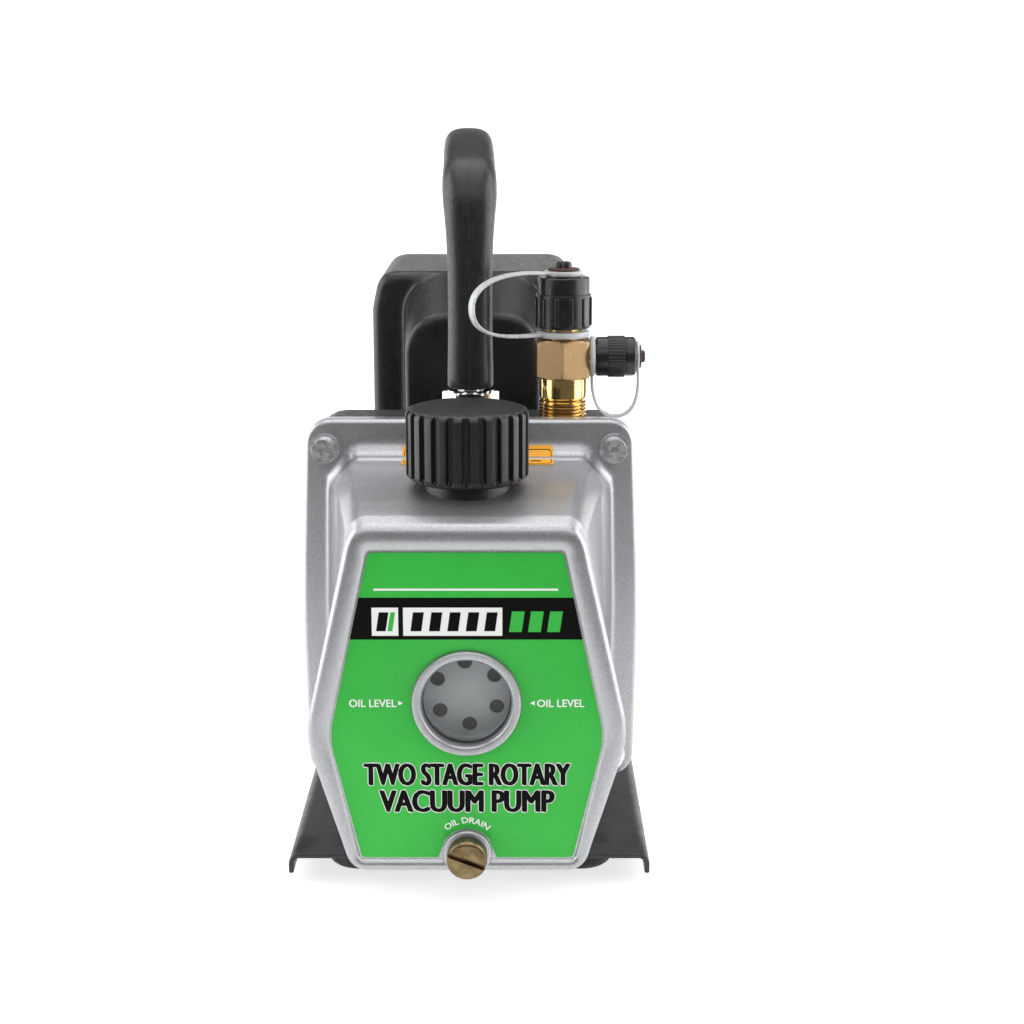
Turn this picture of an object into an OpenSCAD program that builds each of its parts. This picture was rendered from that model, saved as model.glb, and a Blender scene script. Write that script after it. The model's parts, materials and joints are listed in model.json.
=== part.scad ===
// Two-stage rotary-vane vacuum pump for refrigeration service.
// Frame: +Z up, front (oil tank) towards -Y, origin under the middle of the pump, on the floor.
// Most modules are drawn from the tank flange's front plane (y = 0) and put in place by in_frame().

/* [Base] */
// Half the width of the base plate
base_half_w = 64; // [62:0.5:66]
// Height of the plate's top face
base_top = 11.7; // [10:0.1:14]
// Thickness of the steel sheet
base_t = 1.8; // [1.2:0.1:2.5]
// Front edge of the plate
base_front = -41; // [-44:1:-36]
// Rear edge of the plate
base_rear = 215; // [205:1:218]
// Lowest point of the side lips
lip_bottom = 4.3; // [3.5:0.1:6]
// Radius of the rubber feet
foot_r = 11.5; // [10:0.5:12.5]
// Half the distance between left and right feet
foot_x = 40; // [36:1:44]

/* [Oil tank] */
// Depth of the tank in front of its flange
tank_depth = 65; // [60:1:67]
// Wall thickness
tank_wall = 4.2; // [3.5:0.1:5]
// Thickness of the flange
flange_t = 7; // [6:0.5:8]
// Height of the flange's top edge
flange_top = 158.7; // [156:0.1:160]
// Height of the flange's bottom edge
flange_bottom = 25; // [24:0.5:28]
// Depth of the recess for the label
label_recess = 1.5; // [1:0.1:2]

/* [Sight glass] */
// Height of its centre
sight_z = 75.8; // [72:0.1:80]
// Radius of the machined ring
sight_ring_r = 18.35; // [17.5:0.05:19]
// Radius of the opening
sight_open_r = 15.45; // [15:0.05:16]

/* [Filler] */
// Distance of the filler's axis in front of the flange
filler_back = 32; // [30:1:34]
// Radius of the cap
filler_cap_r = 21; // [20:0.5:22]
// Lowest edge of the cap
filler_cap_z = 145.6; // [145.4:0.1:147]
// Number of grip grooves
filler_grooves = 24; // [18:2:30]

/* [Drain] */
// Height of the drain plug's axis
drain_z = 22; // [21:0.5:24]
// Radius of the plug's head
drain_head_r = 6.85; // [6:0.05:7.5]

/* [Pump and motor] */
// Height of the shaft
shaft_z = 86; // [84:1:88]
// Radius of the first stage's bore
high_bore_r = 27; // [26:0.5:28]
// Distance between bore and rotor axes
eccentricity = 4; // [3:0.5:4]
// Radius of the motor barrel
barrel_r = 52; // [50:0.5:53]
// Radius of the motor shaft
shaft_r = 8; // [7:0.5:8]

/* [Intake] */
// Sideways place of the intake fitting
intake_x = 33.9; // [32:0.1:35]
// Distance behind the flange
intake_y = 22; // [20:0.5:24]
// Hexagon's width across flats
intake_af = 19.05; // [18:0.05:20]
// Height of the side port
side_port_z = 179.8; // [178:0.1:181]

/* [Handle] */
// Half the width of the legs
leg_half_w = 8.4; // [7.5:0.1:9]
// Half the width of the grip
grip_half_w = 9.7; // [9:0.1:10.5]
// Sideways drift of the rear leg
handle_drift = 4; // [0:0.5:6]

/* [Hidden] */

$fn = 64;
tiny = 0.02;
flange_y = -79;
slide_gap = 0.05;

// Shaft stations, measured from the flange's front plane
bracket_y0 = flange_t + 1;
bracket_y1 = 36;
high_len = 22;
middle_len = 6;
low_len = 10;
cover_len = 8;
high_y = bracket_y0 - high_len;
middle_y = high_y - middle_len;
low_y = middle_y - low_len;
cover_y = low_y - cover_len;
module_r = 38;
bore_z = shaft_z - eccentricity;
high_rotor_r = high_bore_r - eccentricity - 0.1;
vane_t = 4;
vane_len = 14;
rotor_gap = 0.15;
pump_shaft_end = 33;
motor_shaft_start = 41;
bell_y1 = 50;
bearing_w = 11;
bearing_outer_r = 17.5;
bearing_inner_r = 8;
front_bearing_y = bell_y1;
rear_bell_y = 184;
rear_bearing_y = rear_bell_y;
stator_y = 90;
stator_len = 50;
stator_r = barrel_r - 5;
stator_bore_r = 27.3;
fan_y = 199;
fan_r = 46;
fan_len = 15;
fan_cover_y = 195;
fan_cover_r = barrel_r + 4;
fan_cover_end = 229;
bolt_ring_r = 52;
bolt_angles = [30, 150, 210, 330];

// Outlines seen from the front, as [x, z, corner radius] for the right half, bottom to top
flange_pts = [[60, flange_bottom, 9], [61.2, 93, 700], [58.5, flange_top, 9]];
tank_back_pts = [[40, 30, 10], [52.6, 46, 12], [54, 93, 400], [53, 132, 10], [40, 146.7, 9]];
tank_front_pts = [[39.5, 15.7, 7.5], [54.6, 64.1, 32], [38.3, 135.8, 8.5]];
label_pts = [[36.4, 20, 1.5], [46.6, 63.5, 26], [32.6, 128.2, 2]];
bracket_pts = [[57, 25, 8], [57, 157.5, 10]];
hood_pts = [[41.7, 116, 0], [41.7, 187.5, 14], [38.6, 202.5, 8]];
arch_front_pts = [[26.4, 120, 0], [26.4, 190, 15]];
arch_back_pts = [[28.5, 120, 0], [28.5, 202.5, 14.4]];
tank_screw_at = [[51.8, 149.9], [-51.8, 149.9], [51.8, 34], [-51.8, 34]];
foot_y = [-18, 190];
leg_x = 24;
leg_y = [24, 170];
hood_y0 = 62;
box_y0 = 100;
box_y1 = 183;
hood_wall = 2.5;
neck_z = 138.5;
drain_hole_r = 4.2;
drain_boss_r = 8.4;
neck_boss_z = 133.2;
module_bolt_angles = [45, 135, 225, 315];
module_bolt_r = 33.4;
bolt_head_r = 4.2;
bolt_head_y = 194;
bolt_notch_r = 4.7;
cover_screw_y = 198.5;
cover_screw_angles = [0, 90, 180];
inlet_x = -13;
inlet_z = 168;
inlet_screw_x = 20;
switch_x = 27;
switch_z = 168;
switch_tilt = 10;
switch_pivot_r = 1.1;

// Straps' routes in their own planes, [outwards, up], from the eyelet's edge to the neck ring's edge
strap_half_w = 2.25;
strap_half_t = 0.9;
top_strap_turn = 205;
top_strap = [[[6, 210.2], [20, 212], [36.5, 210], [36.5, 199]],
    [[36.5, 199], [36.5, 188], [22, 187.6], [8, 188.4]]];
side_strap_low = 157.6;
side_strap = [[[44.6, 173.5], [44.2, 166], [46, side_strap_low], [53, side_strap_low]],
    [[53, side_strap_low], [60, side_strap_low], [62.4, 164], [61.3, 175.5]]];

// Handle's middle line, [distance behind the flange, height], front leg first
handle_rear_y = 170;
handle_route = [[[intake_y, 169.3], [intake_y, 188], [intake_y, 207], [intake_y, 224]],
    [[intake_y, 224], [intake_y, 238], [27, 243.2], [40, 245.2]],
    [[40, 245.2], [75, 252.4], [115, 253.2], [146, 245]],
    [[146, 245], [162, 240.6], [handle_rear_y, 234], [handle_rear_y, 220]],
    [[handle_rear_y, 220], [handle_rear_y, 214], [handle_rear_y, 208], [handle_rear_y, 203]]];

// ---------- points and outlines ----------

function unit(v) = v / norm(v);

// Points round one corner q between its neighbours p and s
function corner_arc(p, q, s, r, n) =
    let (a = unit(p - q), b = unit(s - q), half = acos(a * b) / 2)
    let (c = q + unit(a + b) * r / sin(half), t0 = q + a * r / tan(half), t1 = q + b * r / tan(half))
    let (start = atan2(t0[1] - c[1], t0[0] - c[0]), end = atan2(t1[1] - c[1], t1[0] - c[0]))
    let (sweep = (end - start + 540) % 360 - 180)
    [for (i = [0:n]) c + r * [cos(start + sweep * i / n), sin(start + sweep * i / n)]];

// A closed outline with each corner rounded by its third number
function rounded(pts, n = 5) = let (m = len(pts)) [for (i = [0:m - 1])
    let (p = pts[(i + m - 1) % m], q = pts[i], s = pts[(i + 1) % m])
    each q[2] > 0 ? corner_arc([p[0], p[1]], [q[0], q[1]], [s[0], s[1]], q[2], n) : [[q[0], q[1]]]];

// The right half's points with their mirror images, going round
function both_sides(half) = concat(half, [for (i = [len(half) - 1:-1:0])
    [-half[i][0], half[i][1], half[i][2]]]);

function bezier(a, b, c, d, t) =
    a * pow(1 - t, 3) + b * 3 * t * pow(1 - t, 2) + c * 3 * t * t * (1 - t) + d * pow(t, 3);

// Points along a chain of cubic curves that share their end points
function chain(curves, n) = concat([curves[0][0]], [for (c = curves) for (i = [1:n])
    bezier(c[0], c[1], c[2], c[3], i / n)]);

module outline(half, n = 5) { polygon(rounded(both_sides(half), n)); }

// ---------- placing ----------

module in_frame() { translate([0, flange_y, 0]) children(); }
module y_prism(y0, y1) {
    translate([0, y1, 0]) rotate([90, 0, 0]) linear_extrude(y1 - y0) children();
}
module y_cyl(r, y0, y1, x = 0, z = 0) {
    translate([x, y0, z]) rotate([-90, 0, 0]) cylinder(r = r, h = y1 - y0);
}
module y_cone(r0, r1, y0, y1, x = 0, z = 0) {
    translate([x, y0, z]) rotate([-90, 0, 0]) cylinder(r1 = r0, r2 = r1, h = y1 - y0);
}
module x_cyl(r, x0, x1, y = 0, z = 0) {
    translate([x0, y, z]) rotate([0, 90, 0]) cylinder(r = r, h = x1 - x0);
}
module z_cyl(r, z0, z1, x = 0, y = 0) { translate([x, y, z0]) cylinder(r = r, h = z1 - z0); }
module on_shaft(y) { translate([0, y, shaft_z]) rotate([-90, 0, 0]) children(); }
module y_ring(r_out, r_in, y0, y1, x = 0, z = 0) {
    difference() {
        y_cyl(r_out, y0, y1, x, z);
        y_cyl(r_in, y0 - 1, y1 + 1, x, z);
    }
}
module block(x0, x1, y0, y1, z0, z1) { translate([x0, y0, z0]) cube([x1 - x0, y1 - y0, z1 - z0]); }
module ring_of(n, start = 0) { for (i = [0:n - 1]) rotate(start + i * 360 / n) children(); }

// A pie slice between two radii, centred on angle 0
module sector(r_in, r_out, angle, n = 6) {
    polygon(concat([for (i = [0:n]) r_out * [cos(angle * (i / n - 0.5)), sin(angle * (i / n - 0.5))]],
        [for (i = [n:-1:0]) r_in * [cos(angle * (i / n - 0.5)), sin(angle * (i / n - 0.5))]]));
}

// A closed tube through path points [x, y, z]; section(i) gives [half width, half height] there.
// side is the direction of the section's width, the same at every point.
module sweep(path, halves, side, corners, power) {
    n = len(path);
    function tangent(i) = unit(path[min(i + 1, n - 1)] - path[max(i - 1, 0)]);
    function place(i, k) =
        let (a = 360 * (k + 0.5) / corners, up = unit(cross(tangent(i), side)))
        let (c = cos(a), s = sin(a), w = sign(c) * pow(abs(c), 2 / power),
            h = sign(s) * pow(abs(s), 2 / power))
        path[i] + side * w * halves[i][0] + up * h * halves[i][1];
    pts = [for (i = [0:n - 1]) for (k = [0:corners - 1]) place(i, k)];
    sides = [for (i = [0:n - 2]) for (k = [0:corners - 1])
        let (a = i * corners + k, b = i * corners + (k + 1) % corners)
        each [[a, b + corners, b], [a, a + corners, b + corners]]];
    caps = [[for (k = [0:corners - 1]) k], [for (k = [corners - 1:-1:0]) (n - 1) * corners + k]];
    polyhedron(pts, concat(sides, caps), convexity = 6);
}

// Socket-head screw pointing up along +Z, its head's underside at z = 0
module socket_screw(r, length, head_r, head_h) {
    difference() {
        union() {
            translate([0, 0, -head_h]) cylinder(r = head_r, h = head_h);
            translate([0, 0, -head_h * 0.3]) cylinder(r = r, h = length + head_h * 0.3);
        }
        translate([0, 0, -head_h - 1]) cylinder(r = r * 0.8, h = head_h * 0.6 + 1, $fn = 6);
    }
}
module hexagon(af) { circle(r = af / 2 / cos(30), $fn = 6); }

// ---------- base ----------

module base_holes() {
    for (x = [-foot_x, foot_x]) for (y = foot_y) z_cyl(2.6, 0, 20, x, y);
    for (x = [-leg_x, leg_x]) for (y = leg_y) z_cyl(3.1, 0, 20, x, y);
}
module base_plate() {
    bend = 4;
    color([0.23, 0.23, 0.235]) in_frame() difference() {
        y_prism(base_front, base_rear)
            polygon(rounded([[-base_half_w, lip_bottom, 0.8], [-base_half_w + base_t, lip_bottom, 0.8],
                [-base_half_w + base_t, base_top - base_t, bend - base_t],
                [base_half_w - base_t, base_top - base_t, bend - base_t],
                [base_half_w - base_t, lip_bottom, 0.8], [base_half_w, lip_bottom, 0.8],
                [base_half_w, base_top, bend], [-base_half_w, base_top, bend]]));
        base_holes();
    }
}
module rubber_foot() {
    h = base_top - base_t;
    difference() {
        rotate_extrude() polygon([[3, 0], [6.5, 0], [8.6, 0.8], [10.2, 2.4], [11.1, 4.6], [foot_r, 7.4],
            [foot_r, h], [3, h]]);
        translate([0, 0, -1]) cylinder(r = 5, h = 5.2);
    }
}
module rubber_feet() {
    color([0.1, 0.1, 0.1]) in_frame() for (x = [-foot_x, foot_x]) for (y = foot_y) translate([x, y, 0])
        rubber_foot();
}
module foot_screw() {
    translate([0, 0, 4.2]) rotate([0, 0, 30]) socket_screw(2.5, 13, 4.4, 2.8);
    translate([0, 0, base_top]) difference() {
        linear_extrude(3.6) hexagon(8);
        translate([0, 0, -1]) cylinder(r = 2.5, h = 6);
    }
}
module base_screws() {
    color([0.7, 0.7, 0.72]) in_frame() {
        for (x = [-foot_x, foot_x]) for (y = foot_y) translate([x, y, 0]) foot_screw();
        for (x = [-leg_x, leg_x]) for (y = leg_y) translate([x, y, base_top - base_t])
            socket_screw(3, 13, 5.2, 3.4);
    }
}

// ---------- oil tank ----------

module slab(y, half, shrink = 0) { y_prism(y - tiny, y) offset(delta = -shrink) outline(half, 4); }

module tank_skin(shrink, y_front, y_back) {
    hull() {
        slab(y_back, tank_back_pts, shrink);
        slab(y_front, tank_front_pts, shrink);
    }
}
// Round boss for the drain, flat where it meets the tank's bottom edge
module drain_boss() {
    intersection() {
        y_cyl(drain_boss_r, -tank_depth - 0.2, -53, 0, drain_z);
        block(-9, 9, -tank_depth - 1, -50, tank_front_pts[0][1], 40);
    }
}
module oil_tank() {
    floor_y = -tank_depth + label_recess;
    color([0.72, 0.73, 0.75]) in_frame() difference() {
        union() {
            y_prism(0, flange_t) outline(flange_pts);
            tank_skin(0, -tank_depth, 1.5);
            y_cyl(sight_ring_r, -tank_depth - 0.2, -tank_depth + 3.1, 0, sight_z);
            drain_boss();
        }
        difference() {
            tank_skin(tank_wall, -tank_depth + tank_wall + label_recess, flange_t + 1);
            y_cyl(21.5, -tank_depth, -48, 0, sight_z);
            y_cyl(9.4, -tank_depth, -54, 0, drain_z);
            z_cyl(16.5, neck_boss_z, 160, 0, -filler_back);
        }
        difference() {
            y_prism(-tank_depth - 1, floor_y) outline(label_pts, 4);
            y_cyl(sight_ring_r, -tank_depth - 2, 0, 0, sight_z);
            y_cyl(drain_boss_r, -tank_depth - 2, 0, 0, drain_z);
        }
        y_cyl(sight_open_r, -tank_depth - 1, -40, 0, sight_z);
        y_cyl(17, -62, -40, 0, sight_z);
        y_cyl(17.8, -52, -50.8, 0, sight_z);
        y_cyl(drain_hole_r, -tank_depth - 1, -50, 0, drain_z);
        z_cyl(14.7, neck_z, 160, 0, -filler_back);
        z_cyl(11, 120, 160, 0, -filler_back);
        for (p = tank_screw_at) y_cyl(2.7, -1, 10, p[0], p[1]);
    }
}
module tank_gasket() {
    color([0.08, 0.08, 0.08]) in_frame() y_prism(flange_t, bracket_y0) difference() {
        outline([[53.6, 26.5, 7], [53.6, 156.5, 7]]);
        offset(delta = -4) outline(tank_back_pts, 4);
        for (p = tank_screw_at) translate(p) circle(r = 2.7);
    }
}
module tank_screws() {
    color([0.8, 0.8, 0.82]) in_frame() for (p = tank_screw_at) {
        translate([p[0], -1, p[1]]) rotate([-90, 0, 0]) socket_screw(2.5, 24, 4.25, 5);
        y_ring(5.4, 2.6, -1, 0, p[0], p[1]);
    }
}

// ---------- sight glass ----------

module sight_glass_lens() { color([0.85, 0.9, 0.9, 0.5]) in_frame() y_cyl(16.9, -59.6, -54.6, 0, sight_z); }
module sight_glass_o_ring() {
    color([0.05, 0.05, 0.05]) in_frame() translate([0, -60.8, sight_z]) rotate([-90, 0, 0])
        rotate_extrude() translate([15.75, 0]) circle(r = 1.2, $fn = 24);
}
module sight_glass_reflector() {
    color([0.8, 0.82, 0.82]) in_frame() difference() {
        y_cyl(16.9, -54.6, -52, 0, sight_z);
        y_cyl(15.6, -55, -53, 0, sight_z);
        for (i = [0:5]) y_cyl(2.5, -60, -50, 11.2 * cos(i * 60 + 34), sight_z + 11.2 * sin(i * 60 + 34));
    }
}
module sight_glass_snap_ring() {
    color([0.5, 0.5, 0.5]) in_frame() translate([0, -52, sight_z]) rotate([-90, 0, 0]) linear_extrude(1.2)
        difference() {
            circle(r = 17.7);
            circle(r = 14.6);
            translate([0, -16]) square([7, 8], center = true);
        }
}

// ---------- labels ----------

module front_label() {
    floor_y = -tank_depth + label_recess;
    color([0.24, 0.71, 0.29]) in_frame() y_prism(floor_y - 0.25, floor_y) difference() {
        offset(delta = -0.5) outline(label_pts, 4);
        translate([0, sight_z]) circle(r = sight_ring_r + 0.4);
        translate([0, drain_z]) circle(r = 8.8);
    }
}
module caution_label() {
    slope = atan((146.7 - 135.8) / tank_depth);
    color([0.95, 0.55, 0.15]) in_frame() translate([3, 0, 146.7]) rotate([slope, 0, 0])
        block(-27, 27, -10.3, -0.6, 0.02, 0.22);
}

// ---------- filler and drain ----------

module filler_neck() {
    color([0.1, 0.1, 0.1]) in_frame() difference() {
        union() {
            z_cyl(14.6, neck_z, 145.2, 0, -filler_back);
            z_cyl(10.95, neck_boss_z, 158, 0, -filler_back);
        }
        z_cyl(8.5, 120, 170, 0, -filler_back);
    }
}
module filler_cap() {
    groove_r = filler_cap_r + 0.5;
    color([0.12, 0.12, 0.12]) in_frame() translate([0, -filler_back, 0]) difference() {
        rotate_extrude() polygon([[0, 172.2], [6, 171.9], [12, 170.6], [16, 168.8], [19.2, 166.4],
            [20.4, 164.4], [filler_cap_r, 161], [filler_cap_r, 147.2], [20, filler_cap_z],
            [17.5, filler_cap_z], [17.5, 161.6], [0, 161.6]]);
        ring_of(filler_grooves, 7.5) translate([groove_r, 0, 147.4]) cylinder(r = 1.3, h = 16, $fn = 20);
    }
    color([0.12, 0.12, 0.12]) in_frame() translate([0, -filler_back, 0])
        cylinder_ring(13.6, 11.25, 147, 161.7);
}
module cylinder_ring(r_out, r_in, z0, z1) {
    difference() {
        z_cyl(r_out, z0, z1);
        z_cyl(r_in, z0 - 1, z1 + 1);
    }
}
module filler_cap_seal() {
    color([0.2, 0.05, 0.05]) in_frame() translate([0, -filler_back, 0])
        cylinder_ring(10.9, 8.6, 158.3, 161.3);
}
module drain_plug() {
    color([0.6, 0.52, 0.35]) in_frame() translate([0, 0, drain_z]) difference() {
        union() {
            y_cone(drain_head_r - 0.6, drain_head_r, -71, -70.4);
            y_cyl(drain_head_r, -70.4, -66.7);
            y_cyl(drain_hole_r - 0.3, -66.8, -54);
        }
        rotate([0, 21, 0]) block(-10, 10, -72, -69, -0.95, 0.95);
    }
}
module drain_plug_seal() {
    color([0.05, 0.05, 0.05]) in_frame() y_ring(6.4, drain_hole_r, -66.4, -65.25, 0, drain_z);
}
module oil_baffle() {
    color([0.75, 0.75, 0.76]) in_frame() {
        block(-30, 30, -36, 4, 131, 132);
        block(-30, 30, -36, -35, 124, 131);
        block(-30, -29, -35, 4, 124, 131);
        block(29, 30, -35, 4, 124, 131);
        for (x = [-20, 20]) block(x - 5, x + 5, bracket_y0 - 1.2, bracket_y0, 128, 140);
        for (x = [-20, 20]) block(x - 5, x + 5, 4, bracket_y0 - 1.2, 131, 132);
    }
}

// ---------- pump module ----------

module on_bolts(r, angles) { for (a = angles) rotate(a) translate([r, 0, 0]) children(); }
module module_plate(y0, y1, hole_r) {
    difference() {
        y_cyl(module_r, y0, y1, 0, shaft_z);
        y_cyl(hole_r, y0 - 1, y1 + 1, 0, shaft_z);
        on_shaft(y0 - 1) on_bolts(module_bolt_r, module_bolt_angles) cylinder(r = 2.6, h = y1 - y0 + 2);
    }
}
module stage_cylinder(y0, y1) {
    difference() {
        y_cyl(module_r, y0, y1, 0, shaft_z);
        y_cyl(high_bore_r, y0 - 1, y1 + 1, 0, bore_z);
        on_shaft(y0 - 1) on_bolts(module_bolt_r, module_bolt_angles) cylinder(r = 2.6, h = y1 - y0 + 2);
        z_cyl(2, bore_z, shaft_z + module_r + 1, -12, (y0 + y1) / 2);
    }
}
module high_stage_cylinder() { color([0.55, 0.56, 0.57]) in_frame() stage_cylinder(high_y, bracket_y0); }
module middle_plate() {
    color([0.5, 0.51, 0.52]) in_frame() module_plate(middle_y, high_y, shaft_r + 0.05);
}
module low_stage_cylinder() {
    color([0.55, 0.56, 0.57]) in_frame() stage_cylinder(low_y, middle_y);
}
module module_end_cover() {
    color([0.5, 0.51, 0.52]) in_frame() difference() {
        module_plate(cover_y, low_y, shaft_r + 0.05);
        block(-6, 6, cover_y - 1, cover_y + 2, shaft_z - module_r - 1, shaft_z - 14);
    }
}
module module_bolts() {
    color([0.3, 0.3, 0.3]) in_frame() on_shaft(cover_y) on_bolts(module_bolt_r, module_bolt_angles)
        socket_screw(2.5, bracket_y0 + 10 - cover_y, 4.2, 5);
}
module rotor(y0, y1) {
    difference() {
        y_cyl(high_rotor_r, y0 + rotor_gap, y1 - rotor_gap, 0, shaft_z);
        block(-vane_t / 2 - slide_gap, vane_t / 2 + slide_gap, y0 - 1, y1 + 1,
            shaft_z - high_bore_r, shaft_z + high_bore_r);
    }
}
module pump_rotors() {
    color([0.45, 0.45, 0.46]) in_frame() {
        rotor(high_y, bracket_y0);
        rotor(low_y, middle_y);
        y_cyl(shaft_r, bracket_y0 - rotor_gap - tiny, pump_shaft_end, 0, shaft_z);
        y_cyl(shaft_r, middle_y - rotor_gap, high_y + rotor_gap, 0, shaft_z);
        y_cyl(shaft_r, cover_y, low_y + rotor_gap + tiny, 0, shaft_z);
    }
}
module rotor_vanes() {
    tip = high_rotor_r - 0.3;
    color([0.35, 0.22, 0.12]) in_frame() for (y = [[high_y, bracket_y0], [low_y, middle_y]])
        for (s = [-1, 1])
        block(-vane_t / 2, vane_t / 2, y[0] + 0.3, y[1] - 0.3,
            shaft_z + min(s * tip, s * (tip - vane_len)), shaft_z + max(s * tip, s * (tip - vane_len)));
}
module vane_springs() {
    half = high_rotor_r - 0.3 - vane_len;
    color([0.75, 0.75, 0.75]) in_frame()
        for (y = [high_y + 6, high_y + 16, low_y + 5]) z_cyl(1.4, shaft_z - half, shaft_z + half, 0, y);
}
module shaft_seal() {
    color([0.08, 0.08, 0.08]) in_frame() y_ring(13, shaft_r + 0.05, 17, 23, 0, shaft_z);
}
module exhaust_valve_leaf() {
    top = shaft_z + module_r;
    color([0.65, 0.68, 0.72]) in_frame()
        block(-16, 10, low_y + 2.5, middle_y - 2.5, top + 0.05, top + 0.35);
}
module exhaust_valve_stop() {
    top = shaft_z + module_r;
    color([0.6, 0.6, 0.62]) in_frame() {
        difference() {
            union() {
                block(10.3, 20, low_y + 2.5, middle_y - 2.5, top - 3, top + 1.4);
                translate([10.4, low_y + 2.5, top + 0.8]) rotate([0, -174, 0]) block(0, 24, 0, 5, -1, 0);
            }
            y_cyl(module_r, low_y - 1, middle_y + 1, 0, shaft_z);
        }
        z_cyl(3, top + 1.4, top + 3, 15, low_y + 5);
    }
}

// ---------- centre casting ----------

// Drilled way from the intake fitting down to the wide side of the first stage's bore
module intake_duct() {
    port = [18, 66];
    y = 18;
    drop = 112 - port[1];
    run = intake_x - port[0];
    y_cyl(3, 0, y, port[0], port[1]);
    translate([port[0], y - 2, port[1]]) rotate([0, atan(run / drop), 0])
        cylinder(r = 2.5, h = norm([drop, run]) + 4);
}
module pump_bracket() {
    color([0.13, 0.13, 0.14]) in_frame() difference() {
        union() {
            y_prism(bracket_y0, bracket_y1) outline(bracket_pts);
            for (s = [-1, 1]) block(s * 32 - 14, s * 32 + 14, bracket_y0 + 4, bracket_y1, base_top, 30);
        }
        y_cyl(28, 24, bracket_y1 + 1, 0, shaft_z);
        y_cyl(13.05, 16.9, 25, 0, shaft_z);
        y_cyl(shaft_r + 0.05, 0, 25, 0, shaft_z);
        on_shaft(bracket_y0 - 1) on_bolts(module_bolt_r, module_bolt_angles) cylinder(r = 2.5, h = 12);
        for (p = tank_screw_at) y_cyl(2.5, 0, 26, p[0], p[1]);
        z_cyl(8, 145, 160, intake_x, intake_y);
        z_cyl(4.5, 112, 150, intake_x, intake_y);
        intake_duct();
        z_cyl(5, 140, 160, 0, intake_y);
        for (x = [-leg_x, leg_x]) z_cyl(3, 0, 24, x, leg_y[0]);
        on_shaft(bracket_y1 - 12) on_bolts(bolt_ring_r, bolt_angles) cylinder(r = 2.5, h = 14);
    }
}

// ---------- intake ----------

module intake_fitting() {
    color([0.8, 0.62, 0.3]) in_frame() translate([intake_x, intake_y, 0]) difference() {
        union() {
            z_cyl(7.95, 146, 157.6);
            z_cyl(8.2, 157.5, 164.8);
            for (i = [0:5]) translate([0, 0, 157.7 + i * 1.2]) cylinder(r = 8.65, h = 0.6);
            z_cyl(8.6, 164.7, 172.2);
            translate([0, 0, 172.2]) linear_extrude(14.2) rotate(30) hexagon(intake_af);
            z_cyl(6.3, 186.3, 190.4);
            z_cyl(7.6, 190.4, 198.5);
            translate([0, 0, 198.5]) cylinder(r1 = 7.2, r2 = 5.6, h = 2.6);
            translate([0, 0, side_port_z]) {
                x_cyl(4.7, 8, 13.2);
                x_cyl(5.2, 12.6, 20.5);
                translate([20.5, 0, 0]) rotate([0, 90, 0]) cylinder(r1 = 5, r2 = 3.8, h = 2);
            }
        }
        z_cyl(4.5, 140, 210);
        x_cyl(2.6, 0, 30, 0, side_port_z);
        z_cyl(5.6, 145, 152);
    }
}
module intake_strainer() {
    color([0.7, 0.7, 0.72]) in_frame() translate([intake_x, intake_y, 0]) difference() {
        z_cyl(5.5, 146.2, 151.8);
        z_cyl(4.7, 147, 153);
    }
}

// Hollow flare cap standing on z = 0, with small ribs round its lower part
module flare_cap(r_rib, h_rib, r_top, h_top, bore_r, bore_h, ribs) {
    difference() {
        union() {
            cylinder(r = r_rib - 0.6, h = h_rib);
            ring_of(ribs) translate([r_rib - 0.9, 0, 0.8]) cylinder(r = 0.9, h = h_rib - 1.6, $fn = 16);
            translate([0, 0, h_rib - tiny])
                cylinder(r1 = r_top, r2 = r_top - 0.3, h = h_top - h_rib + tiny);
        }
        translate([0, 0, -1]) cylinder(r = bore_r, h = bore_h + 1);
    }
}
module top_flare_cap() {
    color([0.1, 0.1, 0.1]) in_frame() translate([intake_x, intake_y, 190.5]) {
        flare_cap(10.7, 12.2, 9.5, 18.5, 8, 13, 12);
        translate([0, 0, 18.4]) cylinder(r = 2.6, h = 2.7);
        translate([0, 0, 20.8]) cylinder(r = 5.75, h = 1);
        translate([0, 0, 21.7]) cylinder(r1 = 4.2, r2 = 3.2, h = 2.3);
    }
}
module top_cap_seal() {
    color([0.15, 0.15, 0.15]) in_frame() translate([intake_x, intake_y, 0])
        cylinder_ring(7.7, 4.6, 201.4, 203.2);
}
module side_flare_cap() {
    color([0.1, 0.1, 0.1]) in_frame() translate([intake_x + 11.9, intake_y, side_port_z])
        rotate([0, 90, 0]) {
        flare_cap(7.65, 11.4, 7, 14.6, 5.6, 12.2, 22);
        translate([0, 0, 14.5]) cylinder(r = 2, h = 1.6);
        translate([0, 0, 15.9]) cylinder(r = 4.2, h = 0.8);
        translate([0, 0, 16.6]) cylinder(r1 = 3, r2 = 2.4, h = 1.5);
    }
}
module side_cap_seal() {
    color([0.15, 0.15, 0.15]) in_frame() translate([intake_x + 11.9, intake_y, side_port_z])
        rotate([0, 90, 0])
        cylinder_ring(5.3, 3, 10.9, 11.9);
}

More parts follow.
